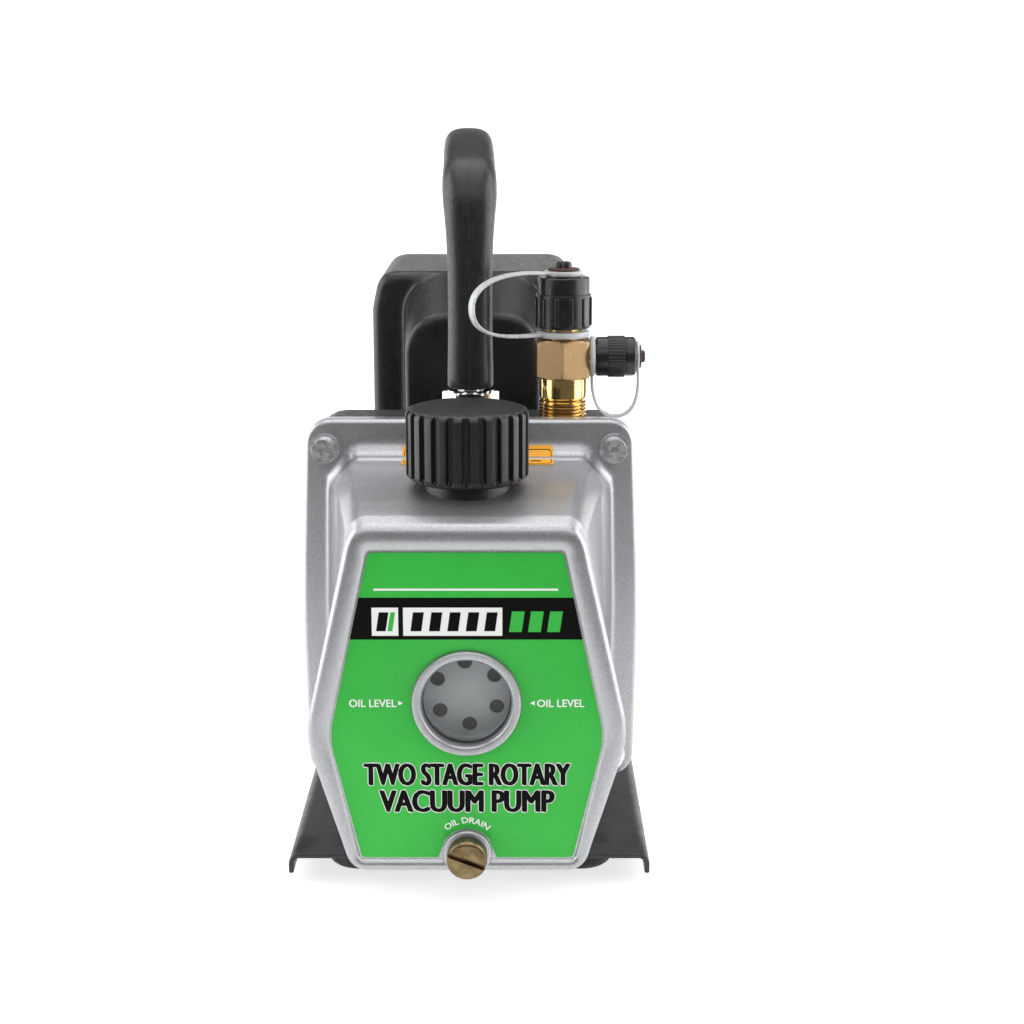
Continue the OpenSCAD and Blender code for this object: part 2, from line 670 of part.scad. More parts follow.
module top_cap_tether() {
    side = [-sin(top_strap_turn), cos(top_strap_turn), 0];
    path = [for (p = chain(top_strap, 9)) [p[0] * cos(top_strap_turn), p[0] * sin(top_strap_turn), p[1]]];
    color([0.85, 0.87, 0.88, 0.7]) in_frame() translate([intake_x, intake_y, 0]) {
        sweep(path, [for (p = path) [strap_half_w, strap_half_t]], side, 8, 6);
        cylinder_ring(7, 2.9, 209.3, 211.1);
        cylinder_ring(9.6, 6.5, 187.1, 189.9);
    }
}
module side_cap_tether() {
    path = [for (p = chain(side_strap, 9)) [p[0], intake_y, p[1]]];
    color([0.85, 0.87, 0.88, 0.7]) in_frame() {
        sweep(path, [for (p = path) [strap_half_w, strap_half_t * 0.9]], [0, 1, 0], 8, 6);
        translate([0, intake_y, side_port_z]) rotate([0, 90, 0]) {
            cylinder_ring(7.4, 4.9, 43.7, 45.5);
            cylinder_ring(5.6, 2.3, 60.6, 61.6);
        }
    }
}

// ---------- handle ----------

function handle_x(y) = -handle_drift * (y - intake_y) / (handle_rear_y - intake_y);
function handle_half(i, n) = let (s = sin(180 * i / n))
    [leg_half_w + (grip_half_w - leg_half_w) * min(1, 1.25 * s), 8.9 - 0.3 * s];

module handle() {
    route = chain(handle_route, 7);
    n = len(route) - 1;
    path = [for (p = route) [handle_x(p[0]), p[0], p[1]]];
    color([0.12, 0.12, 0.12]) in_frame() difference() {
        sweep(path, [for (i = [0:n]) handle_half(i, n)], [1, 0, 0], 20, 3);
        z_cyl(5, 160, 196, 0, intake_y);
        z_cyl(3, 200, 222, -handle_drift, handle_rear_y);
    }
}
module handle_nut() {
    color([0.85, 0.86, 0.88]) in_frame() translate([0, intake_y, 0]) difference() {
        intersection() {
            translate([0, 0, 157.5]) linear_extrude(10.4) hexagon(18);
            translate([0, 0, 150]) cylinder(r1 = 28, r2 = 6, h = 22);
        }
        z_cyl(5, 150, 175);
    }
}
module handle_screws() {
    color([0.7, 0.7, 0.72]) in_frame() {
        z_cyl(4.95, 141, 194, 0, intake_y);
        translate([-handle_drift, handle_rear_y, 200]) socket_screw(2.95, 20, 5.5, 3.6);
    }
}

// ---------- shaft parts ----------

module jaws(y0, y1, start) { on_shaft(y0) linear_extrude(y1 - y0) ring_of(3, start) sector(7, 15, 36); }
module shaft_coupling() {
    color([0.6, 0.6, 0.6]) in_frame() {
        y_ring(15.4, shaft_r, 25, 34, 0, shaft_z);
        jaws(34 - tiny, 40, 0);
        y_ring(15.4, shaft_r, 40.4, 49, 0, shaft_z);
        jaws(34.4, 40.4 + tiny, 60);
    }
}
module coupling_spider() {
    color([0.7, 0.2, 0.1]) in_frame() on_shaft(34.4) linear_extrude(5.6) {
        circle(r = 6.8);
        ring_of(6, 30) sector(5, 14.6, 22);
    }
}
module motor_rotor() {
    color([0.7, 0.7, 0.72]) in_frame() {
        y_cyl(shaft_r - 0.02, motor_shaft_start, fan_y + fan_len + 2, 0, shaft_z);
        y_cyl(stator_bore_r - 0.4, stator_y, stator_y + stator_len, 0, shaft_z);
        y_ring(24, 14, stator_y - 7, stator_y + tiny, 0, shaft_z);
        y_ring(24, 14, stator_y + stator_len - tiny, stator_y + stator_len + 7, 0, shaft_z);
    }
}
module ball_bearings() {
    groove_r = (bearing_outer_r + bearing_inner_r) / 2;
    color([0.75, 0.75, 0.77]) in_frame() for (y = [front_bearing_y, rear_bearing_y]) difference() {
        y_ring(bearing_outer_r, 14.6, y, y + bearing_w, 0, shaft_z);
        on_shaft(y + bearing_w / 2) rotate_extrude() translate([groove_r, 0]) circle(r = 3.05, $fn = 32);
    }
}
module bearing_balls() {
    groove_r = (bearing_outer_r + bearing_inner_r) / 2;
    color([0.85, 0.85, 0.87]) in_frame() for (y = [front_bearing_y, rear_bearing_y])
        on_shaft(y + bearing_w / 2) ring_of(8) translate([groove_r, 0, 0]) sphere(r = 2.9, $fn = 32);
}
module cooling_fan() {
    color([0.15, 0.15, 0.16]) in_frame() {
        y_ring(14, shaft_r, fan_y, fan_y + fan_len, 0, shaft_z);
        y_ring(fan_r - 4, 13.9, fan_y, fan_y + 2, 0, shaft_z);
        on_shaft(fan_y) ring_of(9) translate([13, -1, 0]) cube([fan_r - 13, 2, fan_len]);
    }
}

// ---------- motor casing ----------

// Place for each bolt of the motor's ring, with the barrel's own axes
module motor_bolts_2d(r) { for (a = bolt_angles) rotate(a) translate([bolt_ring_r, 0]) circle(r = r); }
module motor_housing() {
    fin_angles = [for (a = [-50:10:20]) each [a, 180 - a]];
    color([0.13, 0.13, 0.14]) in_frame() difference() {
        union() {
            on_shaft(bell_y1 + tiny) linear_extrude(rear_bell_y - bell_y1 - 2 * tiny) mirror([0, 1]) {
                circle(r = barrel_r);
                motor_bolts_2d(4.6);
                for (a = fin_angles) rotate(a) translate([barrel_r - 1, -0.8]) square([4, 1.6]);
            }
            for (s = [-1, 1])
                block(s * leg_x - 8, s * leg_x + 8, leg_y[1] - 12, leg_y[1] + 12, base_top, 60);
        }
        y_cyl(barrel_r - 5, 0, 250, 0, shaft_z);
        on_shaft(0) mirror([0, 1]) linear_extrude(250) motor_bolts_2d(2.6);
        for (x = [-leg_x, leg_x]) z_cyl(3, 0, 24, x, leg_y[1]);
        z_cyl(9, shaft_z + 20, shaft_z + 60, 0, 80);
    }
}
// Room for the bolts' heads behind the rear bell
module motor_bolt_notches() {
    on_shaft(bolt_head_y) mirror([0, 1]) linear_extrude(6) motor_bolts_2d(bolt_notch_r);
}
module bell(y0, y1, pocket_y) {
    difference() {
        union() {
            on_shaft(y0) mirror([0, 1]) linear_extrude(y1 - y0) {
                circle(r = barrel_r);
                motor_bolts_2d(4.6);
            }
            children();
        }
        y_cyl(bearing_outer_r + 0.01, pocket_y, pocket_y + bearing_w, 0, shaft_z);
        y_cyl(12, y0 - 20, y1 + 30, 0, shaft_z);
        on_shaft(y0 - 1) mirror([0, 1]) linear_extrude(y1 - y0 + 2) motor_bolts_2d(2.6);
    }
}
module front_end_bell() {
    color([0.62, 0.63, 0.65]) in_frame() difference() {
        bell(bracket_y1, bell_y1, front_bearing_y) {
            y_cyl(22, bell_y1 - tiny, front_bearing_y + bearing_w, 0, shaft_z);
            y_ring(barrel_r - 5.1, barrel_r - 9, bell_y1 - tiny, bell_y1 + 4, 0, shaft_z);
        }
        y_cyl(20, bracket_y1 - 1, bell_y1 - 1, 0, shaft_z);
    }
}
module rear_end_bell() {
    color([0.62, 0.63, 0.65]) in_frame() difference() {
        bell(rear_bell_y, 194, rear_bearing_y) {
            y_ring(barrel_r - 5.1, barrel_r - 9, rear_bell_y - 4, rear_bell_y + tiny, 0, shaft_z);
            y_cyl(22, rear_bell_y + 1, rear_bearing_y + bearing_w + 2, 0, shaft_z);
            y_ring(barrel_r + 1.4, barrel_r - 2, 194 - tiny, 202, 0, shaft_z);
        }
        for (a = cover_screw_angles) translate([0, cover_screw_y, shaft_z]) rotate([0, -a, 0])
            x_cyl(2, 40, 70);
        motor_bolt_notches();
        for (a = [15:30:345]) translate([0, 0, shaft_z]) rotate([0, a, 0]) y_cyl(4.5, 170, 196, 34, 0);
    }
}
module motor_bolts() {
    color([0.7, 0.7, 0.72]) in_frame() on_shaft(bolt_head_y) mirror([0, 1]) for (a = bolt_angles) rotate(a)
        translate([bolt_ring_r, 0, 0]) rotate([180, 0, 0]) socket_screw(2.45, 168, bolt_head_r, 4);
}
module stator_core() {
    color([0.4, 0.42, 0.45]) in_frame() on_shaft(stator_y) linear_extrude(stator_len) difference() {
        circle(r = stator_r);
        circle(r = stator_bore_r);
        ring_of(24) translate([stator_bore_r + 1.4, -1.6]) square([10, 3.2]);
    }
}
module stator_windings() {
    color([0.72, 0.36, 0.14]) in_frame() {
        y_ring(43, 29.5, stator_y - 16, stator_y, 0, shaft_z);
        y_ring(43, 29.5, stator_y + stator_len, stator_y + stator_len + 16, 0, shaft_z);
    }
}
module fan_cover() {
    slot_w = 3.2;
    color([0.12, 0.12, 0.13]) in_frame() difference() {
        union() {
            y_cyl(fan_cover_r, fan_cover_y, fan_cover_end - 5, 0, shaft_z);
            y_cone(fan_cover_r, fan_cover_r - 5, fan_cover_end - 5 - tiny, fan_cover_end, 0, shaft_z);
        }
        y_cyl(fan_cover_r - 2.4, fan_cover_y - 1, fan_cover_end - 6, 0, shaft_z);
        y_cyl(fan_cover_r - 6, fan_cover_y - 1, fan_cover_end - 2.6, 0, shaft_z);
        for (i = [-7:7]) let (x = i * 6.2, h = sqrt(pow(44, 2) - x * x))
            block(x - slot_w / 2, x + slot_w / 2, fan_cover_end - 8, fan_cover_end + 1,
                shaft_z - h, shaft_z - 3);
        for (i = [-7:7]) let (x = i * 6.2, h = sqrt(pow(44, 2) - x * x))
            block(x - slot_w / 2, x + slot_w / 2, fan_cover_end - 8, fan_cover_end + 1,
                shaft_z + 3, shaft_z + h);
        for (a = cover_screw_angles) translate([0, cover_screw_y, shaft_z]) rotate([0, -a, 0])
            x_cyl(2.1, 50, 60);
        motor_bolt_notches();
    }
}
module fan_cover_screws() {
    color([0.25, 0.25, 0.26]) in_frame() for (a = cover_screw_angles)
        translate([0, cover_screw_y, shaft_z]) rotate([0, -a, 0])
            translate([fan_cover_r, 0, 0]) rotate([0, -90, 0])
            socket_screw(1.95, 7, 3.6, 2.2);
}

// ---------- motor hood and electrics ----------

module hood_skin(shrink, y0, y1, front) {
    y_prism(y0, y1) offset(delta = -shrink) outline(hood_pts, 6);
    hull() {
        slab(front, arch_front_pts, shrink);
        slab(y0 + 2, arch_back_pts, shrink);
    }
}
module motor_hood() {
    color([0.12, 0.12, 0.12]) in_frame() difference() {
        hood_skin(0, box_y0, box_y1, hood_y0);
        hood_skin(hood_wall, box_y0 + hood_wall, box_y1 - hood_wall, hood_y0 + hood_wall);
        y_cyl(barrel_r + 0.02, 0, 250, 0, shaft_z);
        on_shaft(0) mirror([0, 1]) linear_extrude(250) motor_bolts_2d(4.8);
        block(inlet_x - 13.8, inlet_x + 13.8, 150, 200, inlet_z - 10.2, inlet_z + 10.2);
        for (s = [-1, 1]) y_cyl(1.6, 150, 200, inlet_x + s * inlet_screw_x, inlet_z);
        block(switch_x - 6.6, switch_x + 6.6, 150, 200, switch_z - 9.6, switch_z + 9.6);
        z_cyl(3.1, 190, 210, -handle_drift, handle_rear_y);
    }
}
module run_capacitor() {
    color([0.75, 0.76, 0.78]) in_frame() {
        y_cyl(16, 94, 150, -8, 172);
        for (x = [-13, -3]) block(x - 0.4, x + 0.4, 150 - tiny, 157, 169, 175);
    }
}
module power_inlet() {
    color([0.08, 0.08, 0.08]) in_frame() difference() {
        union() {
            translate([inlet_x, box_y1 + 2.2, inlet_z]) rotate([90, 0, 0]) linear_extrude(2.2)
                polygon(rounded([[-25, -5, 3], [-17, -12, 2], [17, -12, 2], [25, -5, 3], [25, 5, 3],
                    [17, 12, 2], [-17, 12, 2], [-25, 5, 3]]));
            block(inlet_x - 13.5, inlet_x + 13.5, box_y1 - 20, box_y1 + tiny, inlet_z - 10, inlet_z + 10);
        }
        translate([inlet_x, box_y1 + 3, inlet_z]) rotate([90, 0, 0]) linear_extrude(18)
            polygon(rounded([[-12, -8, 1], [12, -8, 1], [12, 4, 1], [8, 8, 1], [-8, 8, 1], [-12, 4, 1]]));
        for (s = [-1, 1]) y_cyl(1.6, 150, 200, inlet_x + s * inlet_screw_x, inlet_z);
    }
    color([0.85, 0.85, 0.86]) in_frame() for (p = [[-7, -2], [7, -2], [0, 2]])
        block(inlet_x + p[0] - 1, inlet_x + p[0] + 1, box_y1 - 17, box_y1 - 1,
            inlet_z + p[1] - 2, inlet_z + p[1] + 2);
}
module switch_bezel() {
    color([0.08, 0.08, 0.08]) in_frame() difference() {
        union() {
            block(switch_x - 8, switch_x + 8, box_y1, box_y1 + 2, switch_z - 11.2, switch_z + 11.2);
            block(switch_x - 6.4, switch_x + 6.4, box_y1 - 16, box_y1 + tiny,
                switch_z - 9.4, switch_z + 9.4);
        }
        block(switch_x - 5, switch_x + 5, box_y1 - 11, box_y1 + 3, switch_z - 9.2, switch_z + 9.2);
        translate([0, box_y1 - 3, switch_z]) x_cyl(switch_pivot_r + 0.15, switch_x - 7, switch_x + 7);
    }
}
// Rocker seen from the side, [outwards, up] from its pivot, in the middle position
module switch_rocker() {
    color([0.75, 0.1, 0.08]) in_frame() translate([switch_x - 4.6, box_y1 - 3, switch_z])
        rotate([switch_tilt, 0, 0])
        rotate([90, 0, 90]) linear_extrude(9.2)
            polygon([[-3, -4], [2, -7.9], [6.4, -7.9], [4.6, 0], [6.4, 7.9], [2, 7.9], [-3, 4]]);
    color([0.75, 0.1, 0.08]) in_frame() translate([0, box_y1 - 3, switch_z])
        x_cyl(switch_pivot_r, switch_x - 6.2, switch_x + 6.2);
}

base_plate();
rubber_feet();
base_screws();
oil_tank();
tank_gasket();
tank_screws();
sight_glass_lens();
sight_glass_o_ring();
sight_glass_reflector();
sight_glass_snap_ring();
front_label();
caution_label();
filler_neck();
filler_cap();
filler_cap_seal();
drain_plug();
drain_plug_seal();
oil_baffle();
pump_bracket();
shaft_seal();
high_stage_cylinder();
middle_plate();
low_stage_cylinder();
module_end_cover();
module_bolts();
pump_rotors();
rotor_vanes();
vane_springs();
exhaust_valve_leaf();
exhaust_valve_stop();
intake_fitting();
intake_strainer();
top_flare_cap();
top_cap_seal();
top_cap_tether();
side_flare_cap();
side_cap_seal();
side_cap_tether();
handle();
handle_nut();
handle_screws();
shaft_coupling();
coupling_spider();
motor_housing();
front_end_bell();
rear_end_bell();
motor_bolts();
stator_core();
stator_windings();
motor_rotor();
ball_bearings();
bearing_balls();
cooling_fan();
fan_cover();
fan_cover_screws();
motor_hood();
run_capacitor();
power_inlet();
switch_bezel();
switch_rocker();
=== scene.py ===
"""Looks of the vacuum pump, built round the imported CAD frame. Lengths are in mm, the stage's in metres."""

import json
import math

import bmesh
import bpy
from mathutils import Matrix, Vector


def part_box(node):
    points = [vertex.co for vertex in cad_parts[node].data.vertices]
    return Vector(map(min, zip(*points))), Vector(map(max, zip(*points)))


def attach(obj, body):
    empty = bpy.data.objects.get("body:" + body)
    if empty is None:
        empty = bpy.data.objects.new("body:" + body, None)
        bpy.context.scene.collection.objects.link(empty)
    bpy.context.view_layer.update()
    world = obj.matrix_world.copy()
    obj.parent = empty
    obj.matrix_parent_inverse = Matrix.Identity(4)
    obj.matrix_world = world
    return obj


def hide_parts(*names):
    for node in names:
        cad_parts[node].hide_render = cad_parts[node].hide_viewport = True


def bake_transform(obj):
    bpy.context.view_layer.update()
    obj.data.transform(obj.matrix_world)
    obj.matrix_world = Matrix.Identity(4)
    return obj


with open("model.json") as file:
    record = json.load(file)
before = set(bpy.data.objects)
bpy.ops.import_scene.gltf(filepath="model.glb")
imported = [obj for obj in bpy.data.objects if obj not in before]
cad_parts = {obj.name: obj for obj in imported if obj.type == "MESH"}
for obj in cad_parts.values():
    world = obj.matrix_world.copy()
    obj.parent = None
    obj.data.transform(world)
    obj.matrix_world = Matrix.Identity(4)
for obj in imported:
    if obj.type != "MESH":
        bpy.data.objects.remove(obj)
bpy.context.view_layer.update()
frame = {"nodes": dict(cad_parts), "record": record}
MM = 0.001
ROOT = "pump_body"


def node_box(name):
    low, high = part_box(name)
    return Vector(low) / MM, Vector(high) / MM


def middle(name):
    low, high = node_box(name)
    return (low + high) / 2


# ---------- places taken from the frame, and a few given sizes ---

flange_y = node_box("tank_gasket")[0].y - 7
panel_y = node_box("front_label")[1].y - 1.5
sight = middle("sight_glass_lens")
drain = middle("drain_plug")
filler = middle("filler_cap")
top_cap = middle("top_flare_cap")
side_cap = middle("side_cap_seal")
base_low, base_high = node_box("base_plate")
label_floor_y = panel_y + 1.5
label_face_y = label_floor_y - 0.25
foot_r = 12.4
FOOT_CAD_R = 11.5
BASE_SHEET = 1.8
SHAFT_Z = 86
HOOD_BORE_R = 52.1

# ---------- materials ----------


class Shader:
    """A material on a Principled shader, with small helpers for procedural detail."""

    def __init__(self, name, color, rough, metal=0.0, **sockets):
        self.mat = bpy.data.materials.new(name)
        self.mat.use_nodes = True
        self.nodes = self.mat.node_tree.nodes
        self.links = self.mat.node_tree.links
        self.shader = self.nodes["Principled BSDF"]
        self.place = self.nodes.new("ShaderNodeTexCoord").outputs["Object"]
        self.normal = None
        self.color = color
        self.set("Base Color", (*color, 1))
        self.set("Roughness", rough)
        self.set("Metallic", metal)
        for key, value in sockets.items():
            self.set(key.replace("_", " "), value)

    def set(self, key, value):
        self.shader.inputs[key].default_value = value

    def node(self, kind, **inputs):
        n = self.nodes.new("ShaderNode" + kind)
        for key, value in inputs.items():
            n.inputs[key.replace("_", " ")].default_value = value
        return n

    def stretched(self, scale):
        n = self.node("Mapping", Scale=scale)
        self.links.new(self.place, n.inputs["Vector"])
        return n.outputs["Vector"]

    def noise(self, scale, detail=2.0, place=None):
        n = self.node("TexNoise", Scale=scale, Detail=detail)
        self.links.new(place or self.place, n.inputs["Vector"])
        return n.outputs["Fac"]

    def cells(self, scale, feature="F1", output="Distance"):
        n = self.node("TexVoronoi", Scale=scale)
        n.feature = feature
        self.links.new(self.place, n.inputs["Vector"])
        return n.outputs[output]

    def ranged(self, value, low, high, start=0.35, end=0.65):
        n = self.node("MapRange", From_Min=start, From_Max=end, To_Min=low, To_Max=high)
        self.links.new(value, n.inputs["Value"])
        return n.outputs["Result"]

    def vary_color(self, value, dark, light, start=0.35, end=0.65):
        """Blends the base colour between a darker and a lighter multiple of it."""
        n = self.nodes.new("ShaderNodeMix")
        n.data_type = "RGBA"
        self.links.new(self.ranged(value, 0, 1, start, end), n.inputs["Factor"])
        n.inputs["A"].default_value = (*[c * dark for c in self.color], 1)
        n.inputs["B"].default_value = (*[min(c * light, 1) for c in self.color], 1)
        self.links.new(n.outputs["Result"], self.shader.inputs["Base Color"])
        return self

    def vary_rough(self, value, low, high, start=0.35, end=0.65):
        self.links.new(self.ranged(value, low, high, start, end), self.shader.inputs["Roughness"])
        return self

    def bump(self, value, depth_mm, strength=1.0):
        n = self.node("Bump", Strength=strength, Distance=depth_mm * MM)
        self.links.new(value, n.inputs["Height"])
        if self.normal:
            self.links.new(self.normal, n.inputs["Normal"])
        self.normal = n.outputs["Normal"]
        self.links.new(self.normal, self.shader.inputs["Normal"])
        return self


def silver_paint():
    s = Shader("silver_paint", (0.42, 0.425, 0.44), 0.36, 0.82, Coat_Weight=0.25, Coat_Roughness=0.1)
    flake = s.cells(3000, output="Color")
    s.vary_color(flake, 0.88, 1.12, 0.2, 0.8)
    s.vary_rough(s.noise(900), 0.32, 0.42)
    return s.bump(s.noise(240, 2), 0.04, 0.14).bump(s.noise(1300, 2), 0.015, 0.22).mat


def powder_black(name, color, rough):
    s = Shader(name, color, rough, Specular_IOR_Level=0.5)
    s.vary_color(s.noise(60, 3), 0.8, 1.25).vary_rough(s.noise(300), rough - 0.06, rough + 0.08)
    return s.bump(s.noise(1100, 2), 0.03, 0.5).bump(s.noise(180, 2), 0.06, 0.3).mat


def cast_black():
    s = Shader("cast_black", (0.016, 0.016, 0.017), 0.36, Specular_IOR_Level=0.6)
    s.vary_color(s.noise(90, 3), 0.8, 1.3).vary_rough(s.noise(400), 0.34, 0.5)
    return s.bump(s.noise(700, 3), 0.10, 0.5).bump(s.noise(120, 3), 0.15, 0.4).mat


def grained_plastic(name, color, rough, grain, depth):
    s = Shader(name, color, rough, Specular_IOR_Level=0.5)
    s.vary_color(s.noise(45, 3), 0.85, 1.2).vary_rough(s.noise(500), rough - 0.06, rough + 0.06)
    return s.bump(s.noise(grain, 2), depth, 0.8).bump(s.cells(grain * 0.7), depth * 0.8, 0.5).mat


def smooth_plastic(name, color, rough=0.28):
    s = Shader(name, color, rough)
    s.vary_color(s.noise(80, 2), 0.9, 1.12).vary_rough(s.noise(250, 3), rough - 0.05, rough + 0.07)
    return s.bump(s.noise(350, 2), 0.015, 0.4).mat


def rubber(name, color):
    s = Shader(name, color, 0.62)
    s.vary_color(s.noise(70, 3), 0.8, 1.3).vary_rough(s.noise(300), 0.52, 0.72)
    return s.bump(s.noise(900, 3), 0.04, 0.6).mat


def bright_metal(name, color, rough, grain=(40, 40, 3000), depth=0.01):
    s = Shader(name, color, rough, 1.0)
    lines = s.noise(1.0, 3, s.stretched(grain))
    s.vary_color(s.noise(120, 3), 0.9, 1.06).vary_rough(lines, rough * 0.75, rough * 1.4)
    return s.bump(lines, depth, 0.6).mat


def frosted_brass():
    s = Shader("hexagon_brass", (0.33, 0.22, 0.115), 0.38, 1.0)
    s.vary_color(s.noise(1600, 3), 0.9, 1.08).vary_rough(s.noise(1500, 3), 0.33, 0.44)
    return s.bump(s.noise(2400, 2), 0.01, 0.5).mat


def passivated_zinc():
    s = Shader("passivated_zinc", (0.20, 0.145, 0.075), 0.36, 1.0)
    s.vary_color(s.noise(260, 4), 0.6, 1.35, 0.3, 0.7).vary_rough(s.noise(400, 3), 0.22, 0.45)
    return s.bump(s.noise(900, 3), 0.02, 0.5).mat


def film(name, color, rough=0.3, gloss=0.22):
    s = Shader(name, color, rough, Specular_IOR_Level=gloss)
    s.vary_color(s.noise(30, 2), 0.97, 1.04).vary_rough(s.noise(90, 3), rough - 0.04, rough + 0.05)
    return s.bump(s.noise(900, 2), 0.004, 0.2).mat


def clear_lens():
    s = Shader("clear_lens", (0.80, 0.85, 0.85), 0.03, Specular_IOR_Level=0.12, Alpha=0.05)
    return s.vary_rough(s.noise(90, 3), 0.015, 0.05).bump(s.noise(60, 2), 0.01, 0.2).mat


def soft_strap():
    s = Shader("soft_strap", (0.80, 0.82, 0.83), 0.30, Transmission_Weight=0.45, IOR=1.40)
    s.vary_color(s.noise(140, 2), 0.95, 1.05).vary_rough(s.noise(200, 2), 0.26, 0.42)
    return s.bump(s.noise(400, 2), 0.02, 0.4).mat


def pale_floor():
    s = Shader("pale_floor", (0.5, 0.5, 0.5), 0.6, Emission_Strength=0.72)
    s.set("Emission Color", (1, 1, 1, 1))
    return s.vary_color(s.noise(3, 2), 0.99, 1.01).mat


METALS = {
    "brass": ((0.80, 0.55, 0.22), 0.14, (30, 30, 2600), 0.006),
    "chrome": ((0.80, 0.81, 0.82), 0.08, (300, 300, 300), 0.002),
    "zinc_screw": ((0.82, 0.83, 0.84), 0.26, (400, 400, 400), 0.004),
    "black_screw": ((0.06, 0.06, 0.06), 0.34, (400, 400, 400), 0.006),
    "machined_iron": ((0.30, 0.31, 0.32), 0.34, (60, 2200, 60)),
    "machined_steel": ((0.52, 0.53, 0.54), 0.24, (60, 2200, 60)),
    "spring_steel": ((0.44, 0.46, 0.50), 0.26, (60, 1200, 60)),
    "raw_aluminium": ((0.64, 0.65, 0.67), 0.38, (500, 500, 500), 0.02),
    "lamination": ((0.25, 0.27, 0.30), 0.42, (20, 2000, 20), 0.03),
    "copper": ((0.62, 0.24, 0.09), 0.34, (900, 120, 900), 0.05),
}
MATS = {
    "tank_paint": silver_paint(),
    "base_paint": powder_black("base_paint", (0.016, 0.016, 0.017), 0.34),
    "black_casting": cast_black(),
    "hood_plastic": grained_plastic("hood_plastic", (0.008, 0.008, 0.008), 0.36, 1500, 0.05),
    "handle_plastic": grained_plastic("handle_plastic", (0.009, 0.009, 0.009), 0.40, 1300, 0.09),
    "cap_plastic": grained_plastic("cap_plastic", (0.009, 0.009, 0.009), 0.40, 2000, 0.03),
    "inlet_plastic": smooth_plastic("inlet_plastic", (0.008, 0.008, 0.008)),
    "black_rubber": rubber("black_rubber", (0.018, 0.018, 0.018)),
    "seal_rubber": rubber("seal_rubber", (0.05, 0.014, 0.010)),
    "spider_rubber": rubber("spider_rubber", (0.45, 0.07, 0.04)),
    "lens": clear_lens(),
    "reflector_white": smooth_plastic("reflector_white", (0.42, 0.45, 0.46), 0.4),
    "green_label": film("green_label", (0.042, 0.455, 0.060)),
    "orange_label": film("orange_label", (0.92, 0.42, 0.03)),
    "strap": soft_strap(),
    "yellow_zinc": passivated_zinc(),
    "vane_carbon": rubber("vane_carbon", (0.10, 0.06, 0.035)),
    "rocker_red": smooth_plastic("rocker_red", (0.50, 0.02, 0.015)),
}
MATS.update({name: bright_metal(name, *look) for name, look in METALS.items()})
BRASS_HEX = frosted_brass()
BAND_BLACK = film("band_black", (0.005, 0.005, 0.005), 0.5, 0.05)
MARK_WHITE = film("mark_white", (0.85, 0.85, 0.83))
MAROON = rubber("maroon_washer", (0.055, 0.020, 0.014))

# ---------- mesh helpers ----------


def linked(name, data):
    """A new object in the scene."""
    obj = bpy.data.objects.new(name, data)
    bpy.context.scene.collection.objects.link(obj)
    return obj


def evaluated_mesh(obj):
    bpy.context.view_layer.update()
    return bpy.data.meshes.new_from_object(obj.evaluated_get(bpy.context.evaluated_depsgraph_get()))


def piece(name, verts, faces, slot, body=ROOT, replaces=(), mats=None, sharp=38, merge=True):
    """A mesh piece from points in mm, shaded smooth except over edges sharper than the given angle."""
    mesh = bpy.data.meshes.new(name)
    mesh.from_pydata([Vector(v) * MM for v in verts], [], faces)
    obj = linked(name, mesh)
    for m in mats or [MATS[slot]]:
        mesh.materials.append(m)
    finish_mesh(mesh, sharp, merge)
    if body:
        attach(obj, body)
    if replaces:
        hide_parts(*replaces)
    return obj


def finish_mesh(mesh, sharp=38, merge=True):
    bm = bmesh.new()
    bm.from_mesh(mesh)
    if merge:
        bmesh.ops.remove_doubles(bm, verts=bm.verts, dist=1e-6)
    bmesh.ops.recalc_face_normals(bm, faces=bm.faces)
    for f in bm.faces:
        f.smooth = True
    for e in bm.edges:
        if e.is_manifold:
            e.smooth = e.calc_face_angle(0) < math.radians(sharp)
    bm.to_mesh(mesh)
    bm.free()


def turns(n):
    return [2 * math.pi * k / n for k in range(n)]


class Build:
    """Collects points and faces in mm, so that one piece can be made of several shapes."""

    def __init__(self):
        self.verts, self.faces, self.slots = [], [], []

    def add(self, verts, faces, mat=0):
        base = len(self.verts)
        self.verts += [Vector(v) for v in verts]
        self.faces += [[base + i for i in f] for f in faces]
        self.slots += [mat] * len(faces)

    def loft(self, rings, mat=0, cap_first=False, cap_last=False, closed=True):
        n = len(rings[0])
        last = n if closed else n - 1
        faces = [[i * n + k, i * n + (k + 1) % n, (i + 1) * n + (k + 1) % n, (i + 1) * n + k]
                 for i in range(len(rings) - 1) for k in range(last)]
        if cap_first:
            faces.append(list(range(n))[::-1])
        if cap_last:
            faces.append([(len(rings) - 1) * n + k for k in range(n)])
        self.add([p for r in rings for p in r], faces, mat)

    def lathe(self, profile, centre, axis="z", n=96, mat=0, wave=None):
        """Turns [radius, height] points round an axis. wave(angle, r, h) may change the radius."""
        rings = []
        for r, h in profile:
            ring = []
            for a in turns(n):
                q = wave(a, r, h) if wave else r
                ring.append(turned(q * math.cos(a), q * math.sin(a), h, centre, axis))
            rings.append(ring)
        shut = profile[0] == profile[-1]
        self.loft(rings, mat, not shut and profile[0][0] > 0.01, not shut and profile[-1][0] > 0.01)

    def prism(self, outline, y0, y1, mat=0):
        """A closed [x, z] outline pushed from y0 to y1."""
        self.loft([[Vector((x, y, z)) for x, z in outline] for y in (y0, y1)], mat, True, True)

    def make(self, name, slot, mats=None, **options):
        obj = piece(name, self.verts, self.faces, slot, mats=mats, merge=False, **options)
        if mats:
            for poly, m in zip(obj.data.polygons, self.slots):
                poly.material_index = m
        return obj


